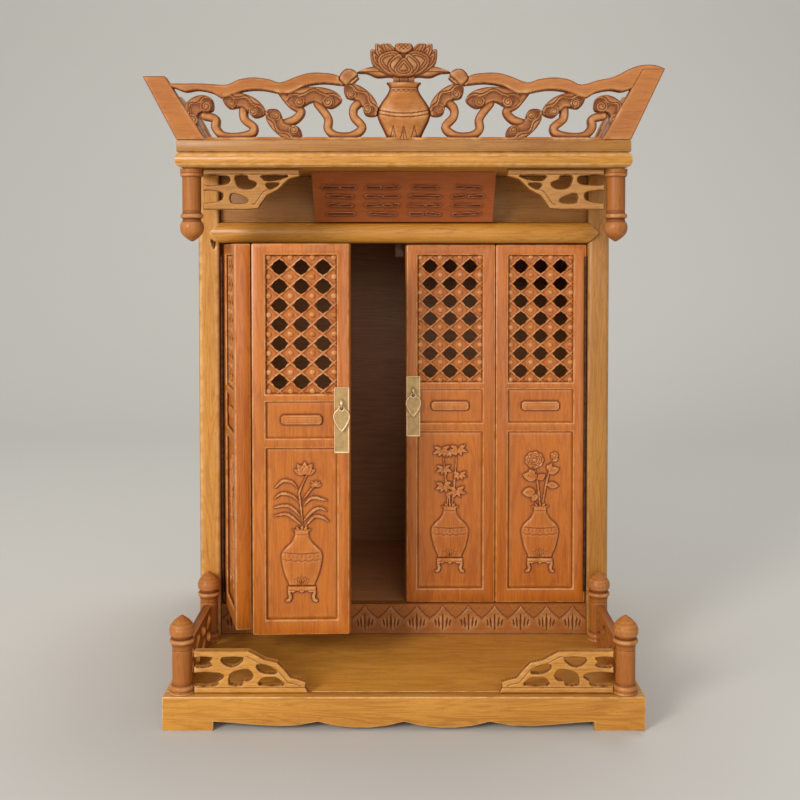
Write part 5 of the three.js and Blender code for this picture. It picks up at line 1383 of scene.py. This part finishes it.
def carve_lattice():
    board, edge = panel_board(LATTICE_LOW, LATTICE_HIGH, 0.62)
    middle_x, middle_z = LEAF_WIDE / 2, LATTICE_LOW + LATTICE_HIGH / 2
    across = (board.u - middle_x) / STEP_X
    up = (board.v - middle_z) / STEP_Z
    rising, falling = across + up, across - up
    from_rising = np.abs(rising - np.round(rising - 0.5) - 0.5)
    from_falling = np.abs(falling - np.round(falling - 0.5) - 0.5)
    rib = np.minimum(from_rising, from_falling) * STEP_X * STEP_Z / math.hypot(STEP_X, STEP_Z)
    crown = np.clip(1 - (rib / 1.1) ** 2, 0, 1)
    board.height = -1.1 + 1.2 * crown
    for column in range(COLUMNS):
        for row in range(ROWS):
            x = middle_x + (column - (COLUMNS - 1) / 2) * STEP_X
            z = middle_z + (row - (ROWS - 1) / 2) * STEP_Z
            p, q = (board.u - x) / (HOLE[0] / 2), (board.v - z) / (HOLE[1] / 2)
            angle = np.arctan2(q, p)
            reach = 0.95 + 0.05 * np.cos(4 * angle) + 0.035 * np.cos(8 * angle)
            board.pierce((reach - np.hypot(p, q)) * HOLE[1] / 2)
    board.groove(np.abs(edge - 0.2), 1.8, 0.9)
    board.height = np.where(edge < 0, 0.0, board.height)
    return board


def boss_tree(material):
    """Geometry Nodes: a grid of points with a dome on each, one mesh at the end. Its inputs are sizes."""
    tree = bpy.data.node_groups.new("lattice_bosses", "GeometryNodeTree")
    for label in ("Columns", "Rows"):
        tree.interface.new_socket(label, in_out="INPUT", socket_type="NodeSocketInt")
    for label in ("Width", "Height", "Radius", "Rise"):
        tree.interface.new_socket(label, in_out="INPUT", socket_type="NodeSocketFloat")
    tree.interface.new_socket("Geometry", in_out="OUTPUT", socket_type="NodeSocketGeometry")
    given = tree.nodes.new("NodeGroupInput").outputs
    grid = add_node(tree, "GeometryNodeMeshGrid", {
        "Vertices X": given["Columns"], "Vertices Y": given["Rows"],
        "Size X": given["Width"], "Size Y": given["Height"],
    })
    dome = add_node(tree, "GeometryNodeMeshUVSphere", {
        "Segments": DOME_SEGMENTS, "Rings": DOME_RINGS, "Radius": given["Radius"],
    })
    flat = calculated(tree, "DIVIDE", given["Rise"], given["Radius"])
    size = add_node(tree, "ShaderNodeCombineXYZ", {"X": 1.0, "Y": 1.0, "Z": flat})
    points = add_node(tree, "GeometryNodeInstanceOnPoints", {
        "Points": grid.outputs["Mesh"], "Instance": dome.outputs["Mesh"], "Scale": size.outputs[0],
    })
    real = add_node(tree, "GeometryNodeRealizeInstances", {"Geometry": points.outputs[0]})
    painted = add_node(tree, "GeometryNodeSetMaterial", {"Geometry": real.outputs[0], "Material": material})
    result = tree.nodes.new("NodeGroupOutput")
    tree.links.new(painted.outputs[0], result.inputs["Geometry"])
    return tree


def grown(tree, values):
    """Runs a Geometry Nodes tree once, with these values for its inputs, and returns a plain mesh."""
    holder = bpy.data.objects.new("holder", bpy.data.meshes.new("holder"))
    bpy.context.scene.collection.objects.link(holder)
    modifier = holder.modifiers.new("grow", "NODES")
    modifier.node_group = tree
    for item in tree.interface.items_tree:
        if item.in_out == "INPUT":
            modifier[item.identifier] = values[item.name]
    bpy.context.view_layer.update()
    mesh = bpy.data.meshes.new_from_object(holder.evaluated_get(bpy.context.evaluated_depsgraph_get()))
    holder.modifiers.remove(modifier)
    bpy.data.objects.remove(holder)
    return mesh


LATTICE = carved_mesh(carve_lattice(), PANEL_BACK, 0.8)
boss_mesh = grown(boss_tree(FINISHES["door_wood"]), {
    "Columns": COLUMNS + 1, "Rows": ROWS + 1, "Width": STEP_X * COLUMNS, "Height": STEP_Z * ROWS,
    "Radius": BOSS_RADIUS, "Rise": BOSS_HEIGHT,
})
print("bosses:", len(boss_mesh.polygons), "faces")


def bosses_of_leaf(limit):
    """The bosses as a drawing: across, height, up, cut off where they enter the frame."""
    points = np.zeros(len(boss_mesh.vertices) * 3)
    boss_mesh.vertices.foreach_get("co", points)
    points = points.reshape(-1, 3)
    across = np.clip(points[:, 0] + LEAF_WIDE / 2, LEAF_STILE - limit, LEAF_WIDE - LEAF_STILE + limit)
    level = points[:, 1] + LATTICE_LOW + LATTICE_HIGH / 2
    up = np.clip(level, LATTICE_LOW - limit, LATTICE_LOW + LATTICE_HIGH + limit)
    drawn = np.stack([across, points[:, 2] - BOSS_SUNK, up], 1)
    # The tops of the bosses are paled, as wear and as a painted highlight.
    shades = np.stack([np.zeros(len(drawn)), np.clip(points[:, 2], 0, 1)], 1)
    faces = [list(face.vertices) for face in boss_mesh.polygons]
    return drawn, shades, faces


def joined_drawings(*drawings):
    points, shades, faces = [], [], []
    count = 0
    for more_points, more_shades, more_faces in drawings:
        points.append(more_points)
        shades.append(more_shades)
        faces += [[v + count for v in face] for face in more_faces]
        count += len(more_points)
    return np.concatenate(points), np.concatenate(shades), faces


LATTICE = joined_drawings(LATTICE, bosses_of_leaf(BOSS_OVERLAP))
for word in LEAVES:
    carved_piece(
        "lattice_" + word + "_carved", LATTICE, leaf_place(word), "leaf_lattice_" + word, "door_wood", "z",
    )

# %% [markdown]
# The middle panel holds one raised tablet with clipped corners and a line cut inside its edge.

# %% Middle panels
MIDDLE_LOW, MIDDLE_HIGH = 181.0, 33.5
TABLET, MIDDLE_STEP = (38.0, 9.0, 2.0), 0.8


def carve_middle():
    board, edge = panel_board(MIDDLE_LOW, MIDDLE_HIGH, MIDDLE_STEP)
    board.height = -0.5 * np.clip(1 - edge / 2.2, 0, 1)
    x, z = LEAF_WIDE / 2, MIDDLE_LOW + MIDDLE_HIGH / 2
    a, b, clip = TABLET[0] / 2, TABLET[1] / 2, TABLET[2]
    p, q = np.abs(board.u - x), np.abs(board.v - z)
    inside = np.minimum(np.minimum(a - p, b - q), (a + b - clip - p - q) / math.sqrt(2))
    board.groove(np.abs(inside + 0.5), 1.6, 0.3)
    board.lay(inside, 2.0, 1.5)
    board.groove(np.abs(inside - 2.0), 0.9, 0.35, inside > 0)
    return board


MIDDLE_PANEL = carved_mesh(carve_middle(), PANEL_BACK, 1.1)
for word in LEAVES:
    carved_piece(
        "middle_panel_" + word + "_carved", MIDDLE_PANEL, leaf_place(word),
        "leaf_middle_" + word, "door_wood", "z",
    )

# %% [markdown]
# The lower panels carry a vase on a small stand, in shallow relief, each with another plant: lotus,
# bamboo, peony and plum. The ground round the forms is cut away a little and a narrow trench follows
# every edge, where painted shade darkens it. The vase is drawn as one half and mirrored.

# %% Vase and stand of a lower panel
LOWER_LOW, LOWER_HIGH = 14.0, 158.0
VASE_FOOT, VASE_MOUTH = 45.0, 96.5
VASE_HALF = [
    [0, 0], [11.6, 0], [12.8, 3.5], [15.2, 9], [17.4, 17], [18.8, 25], [18.2, 30], [15.0, 34.5], [10.2, 39],
    [7.2, 44], [6.3, 48], [6.9, 51.2], [0, 51.5],
]
PANEL_MIDDLE = LEAF_WIDE / 2
LOWER_STEP = 0.66


def carve_form(board, inside, top, rounding=1.2, trench=0.25):
    """A raised form on the panel with the narrow trench that the knife cuts round it."""
    board.groove(np.abs(inside + 0.5), 1.7, trench)
    board.lay(inside, top, rounding)


def carve_panel_vase(board):
    x = board.u - PANEL_MIDDLE
    z = board.v - VASE_FOOT
    right = smooth_line(VASE_HALF[1:-1], 5)
    edge = [[0, 0], *[[p[0], p[1]] for p in right], [0, 51.5]]
    edge = edge + [[-p[0], p[1]] for p in reversed(right)]
    inside = polygon_distance(x, z, edge)
    bulge = 1.0 + 1.1 * np.sqrt(np.clip(inside / 14.0, 0, 1))
    carve_form(board, inside, bulge, 1.3, 0.3)
    wood = inside > 0.8
    sag = 1.6 * (1 - (x / 20) ** 2)
    board.groove(np.abs(z - 31.0 + sag), 1.2, 0.7, wood)
    scallop = 25.2 - sag - 1.3 * np.abs(np.cos(x / 3.3 * math.pi / 2))
    board.groove(np.abs(z - scallop), 1.1, 0.6, wood)
    beads = np.cos(x / 1.9 * math.pi) * (np.abs(z - 28.3 + sag) < 1.5)
    board.height = board.height - 0.35 * np.clip(beads, 0, 1) * wood
    board.groove(np.abs(z - 47.2), 1.0, 0.5, wood)
    for number in range(5):
        lean = (number - 2) * 0.38
        along = x * math.sin(lean) + (z + 1) * math.cos(lean)
        across = x * math.cos(lean) - (z + 1) * math.sin(lean)
        leaf = 1.9 * np.sin(np.pi * np.clip(along / 10.5, 0, 1)) - np.abs(across)
        board.groove(np.abs(leaf), 0.9, 0.6, (inside > 0.2) & (along > 0.5) & (along < 10.5))
        board.groove(np.abs(across), 0.6, 0.35, (leaf > 0.3) & (inside > 0.2))


def carve_stand(board):
    x = board.u - PANEL_MIDDLE
    z = board.v - (VASE_FOOT - 15)
    top_bar = np.minimum(12.6 - np.abs(x), np.minimum(z - 10.2, 14.0 - z))
    scallops = 9.6 - 1.3 * np.cos(x / 4.1 * math.pi)
    apron = np.minimum(12.0 - np.abs(x), np.minimum(z - scallops, 12.2 - z))
    leg_line = [[10.4, 11], [11.6, 8.2], [10.6, 4.8], [11.4, 1.8], [13.2, 0.9]]
    legs = 1.5 - line_distance(np.abs(x), z, smooth_line(leg_line, 5))[0]
    inside = np.maximum(np.maximum(top_bar, apron), legs)
    carve_form(board, inside, 1.7, 0.9, 0.3)
    board.groove(np.abs(z - 10.6), 0.8, 0.5, inside > 0.4)


# %% [markdown]
# Four strokes of the knife make every plant: a long blade with a vein, a leaf with ribs, a blossom of
# scalloped rings and a lotus head of pointed petals.

# %% Leaves and blossoms
def carve_blade(board, points, width, top=1.5):
    """A long leaf that swells in the middle and ends in a point, with its vein."""
    line = [[PANEL_MIDDLE + x, z] for x, z in smooth_line(points, 6)]
    away, share = line_distance(board.u, board.v, line)
    half = width / 2 * np.sin(np.pi * np.clip(0.12 + 0.86 * share, 0, 1)) ** 0.8
    inside = half - away
    board.groove(np.abs(inside + 0.4), 1.5, 0.2)
    board.lay(inside, top, 0.9)
    if width > 2.4:
        board.groove(away, 0.6, 0.4, (inside > 0.3) & (share > 0.15))


def carve_leaf(board, x, z, length, width, angle, top=1.5):
    along = (board.u - PANEL_MIDDLE - x) * math.sin(angle) + (board.v - z) * math.cos(angle)
    across = (board.u - PANEL_MIDDLE - x) * math.cos(angle) - (board.v - z) * math.sin(angle)
    share = np.clip(along / length, 0, 1)
    half = width / 2 * np.sin(np.pi * share**0.8) ** 0.85
    inside = np.minimum(half - np.abs(across), np.minimum(along, length - along))
    board.groove(np.abs(inside + 0.4), 1.5, 0.2)
    board.lay(inside, top + 0.4 * share, 0.9)
    board.groove(np.abs(across), 0.6, 0.45, (inside > 0.2))
    if width > 6:
        ribs = np.cos((along - np.abs(across) * 0.9) / 2.2 * 2 * math.pi)
        board.height = board.height - 0.3 * np.clip(ribs, 0, 1) * (inside > 0.7)


def carve_rose(board, x, z, radius, lobes, rings):
    """A blossom of scalloped rings, one inside the other."""
    p, q = board.u - PANEL_MIDDLE - x, (board.v - z) * 1.12
    angle = np.arctan2(q, p)
    away = np.hypot(p, q)
    for number in range(rings):
        share = 1 - number / rings * 0.95
        petal = lobes / 2 * angle + number * 1.3
        wave = 1 + 0.12 * np.abs(np.cos(petal)) - 0.06
        inside = radius * share * wave - away
        if number == 0:
            carve_form(board, inside, 1.3, 1.1)
        else:
            board.groove(np.abs(inside), 1.1, 0.75)
            board.height = board.height + 0.25 * (inside > 0.4)
        spokes = np.abs(np.cos(petal + math.pi / 2))
        between = (inside > 0.5) & (away > radius * 0.2)
        board.height = board.height - 0.3 * np.clip(1 - spokes * 6, 0, 1) * between


def carve_small_lotus(board, x, z, size):
    """A lotus head of a few pointed petals, from the back row to the front."""
    for angle, length, width, top in (
        (-1.15, 1.0, 0.52, 1.0), (1.15, 1.0, 0.52, 1.0), (-0.62, 1.12, 0.55, 1.1), (0.62, 1.12, 0.55, 1.1),
        (0.0, 1.12, 0.5, 1.1), (-0.85, 0.78, 0.5, 1.5), (0.85, 0.78, 0.5, 1.5), (-0.3, 0.8, 0.5, 1.6),
        (0.32, 0.8, 0.5, 1.6), (0.0, 0.58, 0.46, 1.8),
    ):
        carve_leaf(board, x, z - size * 0.55, size * length, size * width, angle, top)


# %% [markdown]
# Each plant is a few stems, leaves and blossoms. The lotus is measured up from the foot of the leaf, the
# others from the mouth of the vase. The plum, on the leaf that is seen edge-on, is guessed.

# %% The four plants
LOTUS_BLADES = [
    [[-24.1, 135.3], [-16.9, 141.6], [-8, 140], [-3.4, 133.9]],
    [[-24.6, 125.7], [-17.9, 130], [-8, 127.5], [-0.5, 119.4]],
    [[-25.1, 117], [-15, 119], [-7.2, 115.5], [0, 106.9]],
    [[-25.1, 109.3], [-15, 111.2], [-8.2, 107.8], [1.4, 99.1]],
    [[23.2, 123.3], [11.1, 126.2], [5, 122.6], [1.4, 117.5]],
    [[22.7, 113.6], [15.9, 116.5], [8, 112], [1.4, 104]],
    [[24.6, 104], [18.8, 107.8], [11.1, 108.3], [2.9, 99.1]],
]
LOTUS_STEMS = [[[5.3, 148], [-1.9, 132], [-1.4, 123.3], [1.4, 97]], [[12, 136], [8.7, 133.9], [0.5, 123]]]
BAMBOO_TUFT = [
    [-2.7, 8, 3.4], [-2.0, 10, 3.8], [-1.2, 9, 3.6], [1.1, 9, 3.6], [1.9, 10, 3.8], [2.7, 8, 3.4],
]
BAMBOO_TUFTS = [
    [-8, 57, 1.0], [8.5, 58, 1.0], [-1, 55, 0.8], [-6, 38, 0.9], [10, 32, 0.8], [-6, 21, 1.0],
    [7, 16, 1.0],
]
BAMBOO = (
    [[[-2, -1], [-3, 18], [-5, 34], [-7, 56]], [[2, -1], [5, 28], [7, 58]], [[0, -1], [-1, 15], [-4, 22]]],
    [[x, z, length * size, width * size, angle]
     for x, z, size in BAMBOO_TUFTS for angle, length, width in BAMBOO_TUFT],
    [],
)
PEONY = (
    [[[0, -1], [-2, 20], [-5, 40]], [[2, -1], [6, 22], [9, 34], [13.5, 48]]],
    [[-3, 29, 15, 10, -1.4], [-6, 30, 9, 7, -0.6], [-5, 15, 13, 10, -1.7], [-3, 12, 9, 6, -2.5],
     [-2, 27, 9, 7, 0.9], [8, 34, 12, 8, 1.2], [8, 36, 8, 6, 0.4], [7, 22, 12, 7, 1.7],
     [12.5, 46, 6, 4, 1.2]],
    [[-5.7, 46.7, 9.2, 9, 4], [14.3, 51, 3.8, 5, 2]],
)
PLUM = (
    [[[0, -1], [-4, 18], [2, 34], [5, 52]], [[-3, 16], [-9, 24], [-9, 48]], [[1, 28], [8, 32], [13, 38]]],
    [[-4, 14, 12, 6, -1.4], [1, 22, 12, 6, 1.2]],
    [[-9, 50, 6, 5, 2], [5, 56, 6.5, 5, 2], [13, 38, 5.5, 5, 2], [-13, 30, 5.5, 5, 2]],
)


def carve_plant(board, plant):
    stems, leaves, blossoms = plant
    for points in stems:
        carve_blade(board, [[x, VASE_MOUTH + z] for x, z in points], 1.9, 1.4)
    for x, z, length, width, angle in leaves:
        carve_leaf(board, x, VASE_MOUTH + z, length, width, angle)
    for x, z, radius, lobes, rings in blossoms:
        carve_rose(board, x, VASE_MOUTH + z, radius, lobes, rings)


def carve_lotus_plant(board):
    for points in LOTUS_BLADES:
        carve_blade(board, points, 2.7)
    for points in LOTUS_STEMS:
        carve_blade(board, points, 1.9, 1.5)
    carve_small_lotus(board, 13, 139, 6.0)
    carve_small_lotus(board, 2.9, 153.5, 11.0)


def carve_lower(word):
    board, edge = panel_board(LOWER_LOW, LOWER_HIGH, LOWER_STEP)
    board.height = -0.9 * np.clip(1 - edge / 3.0, 0, 1) ** 1.5
    if word == "left_inner":
        carve_lotus_plant(board)
    else:
        carve_plant(board, {"left_outer": PLUM, "right_inner": BAMBOO, "right_outer": PEONY}[word])
    for number in range(5):
        lean = (number - 2) * 0.62
        carve_leaf(board, (number - 2) * 1.7, VASE_MOUTH - 1.5, 6.0, 2.6, lean, 1.6)
    carve_panel_vase(board)
    carve_stand(board)
    return carved_mesh(board, PANEL_BACK, 0.85)


for word in LEAVES:
    carved_piece(
        "lower_panel_" + word + "_carved", carve_lower(word), leaf_place(word),
        "leaf_lower_" + word, "door_wood", "z",
    )

# %% [markdown]
# Under the doors runs a band of lotus petals. Only their tips rise, like a row of little roofs, and the
# knife has left a fan of ticks in each.

# %% Band of petals
PETAL_PITCH = 26.0
TICKS = [
    [0, 0, 3.6, 21], [-3.4, -.08, 6.5, 17], [3.4, .1, 7, 17], [-6.4, -.16, 8, 15.5], [6.6, .18, 8, 15],
]
BAND_STEP, BAND_STAIN = 0.7, 0.24


def carve_band():
    low, high = lowest("plinth_band"), highest("plinth_band")
    tall, half = high[2] - low[2], (high[0] - low[0]) / 2
    board = Carving((-half, 0.0), (half, tall), BAND_STEP)
    board.whole_board(-1.0)
    across = (board.u / PETAL_PITCH - np.floor(board.u / PETAL_PITCH) - 0.5) * PETAL_PITCH
    behind = (board.u / PETAL_PITCH + 0.5 - np.floor(board.u / PETAL_PITCH + 0.5) - 0.5) * PETAL_PITCH
    back_row = tall - 0.4 - 11.0 * (np.abs(behind) / (PETAL_PITCH / 2)) ** 0.75 - board.v
    board.groove(np.abs(back_row), 1.0, 0.16)
    share = np.abs(across) / (PETAL_PITCH / 2)
    front_row = tall - 0.9 - 13.5 * share**0.7 - board.v
    board.groove(np.abs(front_row + 0.5), 1.8, 0.25, front_row < 0.4)
    rim = np.clip(1 - np.abs(front_row - 1.1) / 1.3, 0, 1)
    tip = np.clip((board.v - tall * 0.62) / (tall * 0.3), 0, 1)
    board.height = board.height + 0.7 * rim * tip + 0.35 * np.clip(front_row / 3.0, 0, 1)
    board.stain[:] = BAND_STAIN
    for x, lean, low_end, high_end in TICKS:
        level = np.clip((board.v - low_end) / (high_end - low_end), 0, 1)
        width = 0.3 + 0.8 * np.sin(np.pi * level)
        away = np.abs(across - x - lean * (board.v - low_end))
        cut = np.clip(1 - (away / width) ** 2, 0, 1) * (level > 0) * (level < 1)
        board.height = board.height - 1.1 * cut
    board.groove(np.abs(np.minimum(board.v - 0.6, 3)), 1.2, 0.4)
    return carved_mesh(board, high[1] - low[1] - 0.2)


carved_piece(
    "plinth_band_carved", carve_band(), set_at(0.0, *lowest("plinth_band")[1:]),
    "plinth_band", "carved_wood", "x",
)

# %% [markdown]
# The plaque leans forward under the cornice. Its writing is given as rows of shallow strokes that spell
# nothing. Each stroke is what a flat chisel leaves: a raised line with the ground sunk beside it.

# %% Plaque
PLAQUE_STEP = 0.7
PLAQUE_FRONT, PLAQUE_LEAN, PLAQUE_LEVEL = -62.0, math.radians(45), 7.07
GROUPS, STROKE_SEED = 4, 11
PLAQUE_FOOT = lowest("frieze_panel")[2]


def carve_plaque():
    half = highest("plaque")[0]
    slope = (highest("plaque")[2] - PLAQUE_FOOT) / math.cos(PLAQUE_LEAN)
    board = Carving((-half, 0.0), (half, slope), PLAQUE_STEP)
    board.whole_board()
    chance = np.random.default_rng(STROKE_SEED)
    pitch = 2 * half / GROUPS * 0.94
    for group in range(GROUPS):
        middle = (group - (GROUPS - 1) / 2) * pitch
        strokes = []
        for row in range(4):
            level = 10.5 + row * 11.5
            pieces = chance.integers(1, 3)
            width = (pitch - 8.0) / pieces
            for piece in range(pieces):
                x = middle - (pitch - 8.0) / 2 + (piece + 0.5) * width
                long = width * chance.uniform(0.62, 0.84) / 2
                tilt = chance.uniform(-0.8, 0.8)
                strokes.append([[x - long, level - tilt], [x + long, level + tilt]])
        for stroke in strokes:
            away = line_distance(board.u, board.v, stroke)[0]
            raised = np.clip(1 - ((away - 1.5) / 0.9) ** 2, 0, 1)
            sunk = np.clip(1 - ((away - 3.1) / 1.1) ** 2, 0, 1)
            board.height = np.maximum(board.height - 0.35 * sunk, 1.15 * raised - 0.4 * (away < 1.0))
    board.height = board.height * (board.inside > 0)
    return carved_mesh(board, PLAQUE_LEVEL / math.sqrt(2), 1.4)


def plaque_place(u, h, v):
    forward = PLAQUE_FRONT - v * math.sin(PLAQUE_LEAN) - h * math.sqrt(2)
    return u, forward, PLAQUE_FOOT + v * math.cos(PLAQUE_LEAN)


carved_piece("plaque_carved", carve_plaque(), plaque_place, "plaque", "plaque_wood", "x")

# %% [markdown]
# A latch plate is a strip of brass with bright edges, partly rubbed and partly a painted highlight. A wire
# eye stands out of it, painted bright as a highlight, and a drop pull hangs from the eye. The pull is a
# body of its own, so it swings on the axis that the model gives it.

# %% Latch plates and eyes
PLATE_WIDE, _, PLATE_HIGH = np.round(highest("latch_plate_right") - lowest("latch_plate_right"), 4)
PLATE_THICK = 1.2
PLATE_MIDDLE_Z, PLATE_X = 197.75, {"right_inner": 8.25, "left_inner": 81.75}
EYE_RADIUS, EYE_WIRE, EYE_KNOB, EYE_RISE, EYE_TURN = 4.6, 0.6, 2.2, 15.0, math.radians(198)


def carve_plate():
    board = Carving((-PLATE_WIDE / 2, -PLATE_HIGH / 2), (PLATE_WIDE / 2, PLATE_HIGH / 2), 0.5)
    board.whole_board()
    edge = np.minimum(PLATE_WIDE / 2 - np.abs(board.u), PLATE_HIGH / 2 - np.abs(board.v))
    board.height = -0.3 * np.clip(edge / 0.5 - 1.2, 0, 1)
    board.inside = np.minimum(board.inside, edge + 0.01)
    return carved_mesh(board, PLATE_THICK, 3.0)


def eye_drawing():
    """A wire bent out of the plate, thicker above, where it shows as a knob; all of it is painted bright as
    a highlight.
    """
    turns, sides = 22, 10
    points, faces = [], []
    for turn in range(turns + 1):
        angle = (turn / turns - 0.5) * EYE_TURN
        swell = max(0.0, math.sin(math.pi * min(1.0, max(0.0, (angle + 0.35) / 1.5))))
        radius = EYE_WIRE + (EYE_KNOB - EYE_WIRE) * swell
        ring = min(EYE_RADIUS, EYE_RADIUS + EYE_WIRE - radius)
        for side in range(sides):
            way = 2 * math.pi * side / sides
            reach = ring + radius * math.cos(way)
            out, up = reach * math.cos(angle), EYE_RISE + reach * math.sin(angle)
            points.append([radius * math.sin(way), out, up])
        if turn:
            first = (turn - 1) * sides
            for side in range(sides):
                after = (side + 1) % sides
                faces.append([first + side, first + sides + side, first + sides + after, first + after])
    faces.append(list(range(sides)))
    faces.append(list(range(turns * sides, (turns + 1) * sides))[::-1])
    points = np.array(points)
    # The whole eye is painted bright, as a painted highlight.
    shades = np.stack([np.zeros(len(points)), np.full(len(points), 0.7)], 1)
    return points, shades, faces


def plate_place(word):
    leaf = leaf_place(word)

    def place(u, h, v):
        return leaf(u + PLATE_X[word], h + PANEL_FACE + PLATE_THICK + 0.3, v + PLATE_MIDDLE_Z)
    return place


for word, side in (("right_inner", "right"), ("left_inner", "left")):
    carved_piece(
        "latch_plate_" + side + "_shaped", joined_drawings(carve_plate(), eye_drawing()),
        plate_place(word), "latch_plate_" + side, "brass", "z",
    )

# %% Drop pulls
PULL_HALF, PULL_THICK, PULL_HOLE = 7.7, 1.0, 1.75
PULL_OUTLINE = [
    [0.6, 2.9], [2.2, 2.3], [3.1, .8], [3.9, -0.9], [5.6, -2.4], [7.1, -4.6], [7.6, -7.2],
    [7.2, -10.2], [5.7, -13.9], [3.4, -17.6], [1.2, -20.6], [0.3, -21.4],
]
PULL_TURN = {"right": 0.0, "left": FOLD_ANGLE - OPEN_ANGLE}


def carve_pull():
    board = Carving((-PULL_HALF, -22.0), (PULL_HALF, 3.0), 0.36)
    right = smooth_line(PULL_OUTLINE, 5)
    outline = right + [[-x, z] for x, z in reversed(right)]
    inside = polygon_distance(board.u, board.v, outline)
    away = np.hypot(board.u, board.v)
    board.add(inside, 0.0, 0.3)
    from_edge, from_hole = np.clip((inside - 0.8) / 0.4, 0, 1), np.clip((away - 2.6) / 0.4, 0, 1)
    board.height = board.height - 0.22 * from_edge * from_hole
    board.pierce(PULL_HOLE - away)
    return carved_mesh(board, PULL_THICK, 3.0)


def pull_place(side):
    x0, y0, z0 = JOINT_PLACES[side + "_pull_swing"]

    def place(u, h, v):
        x, y = turned_by(PULL_TURN[side], u, -(h + PULL_THICK / 2))
        return x + x0, y + y0, v + z0
    return place


for side in ("right", "left"):
    carved_piece("pull_" + side + "_shaped", carve_pull(), pull_place(side), "pull_" + side, "brass", "z")

# %% Finish
print("pieces:", len(made_pieces))
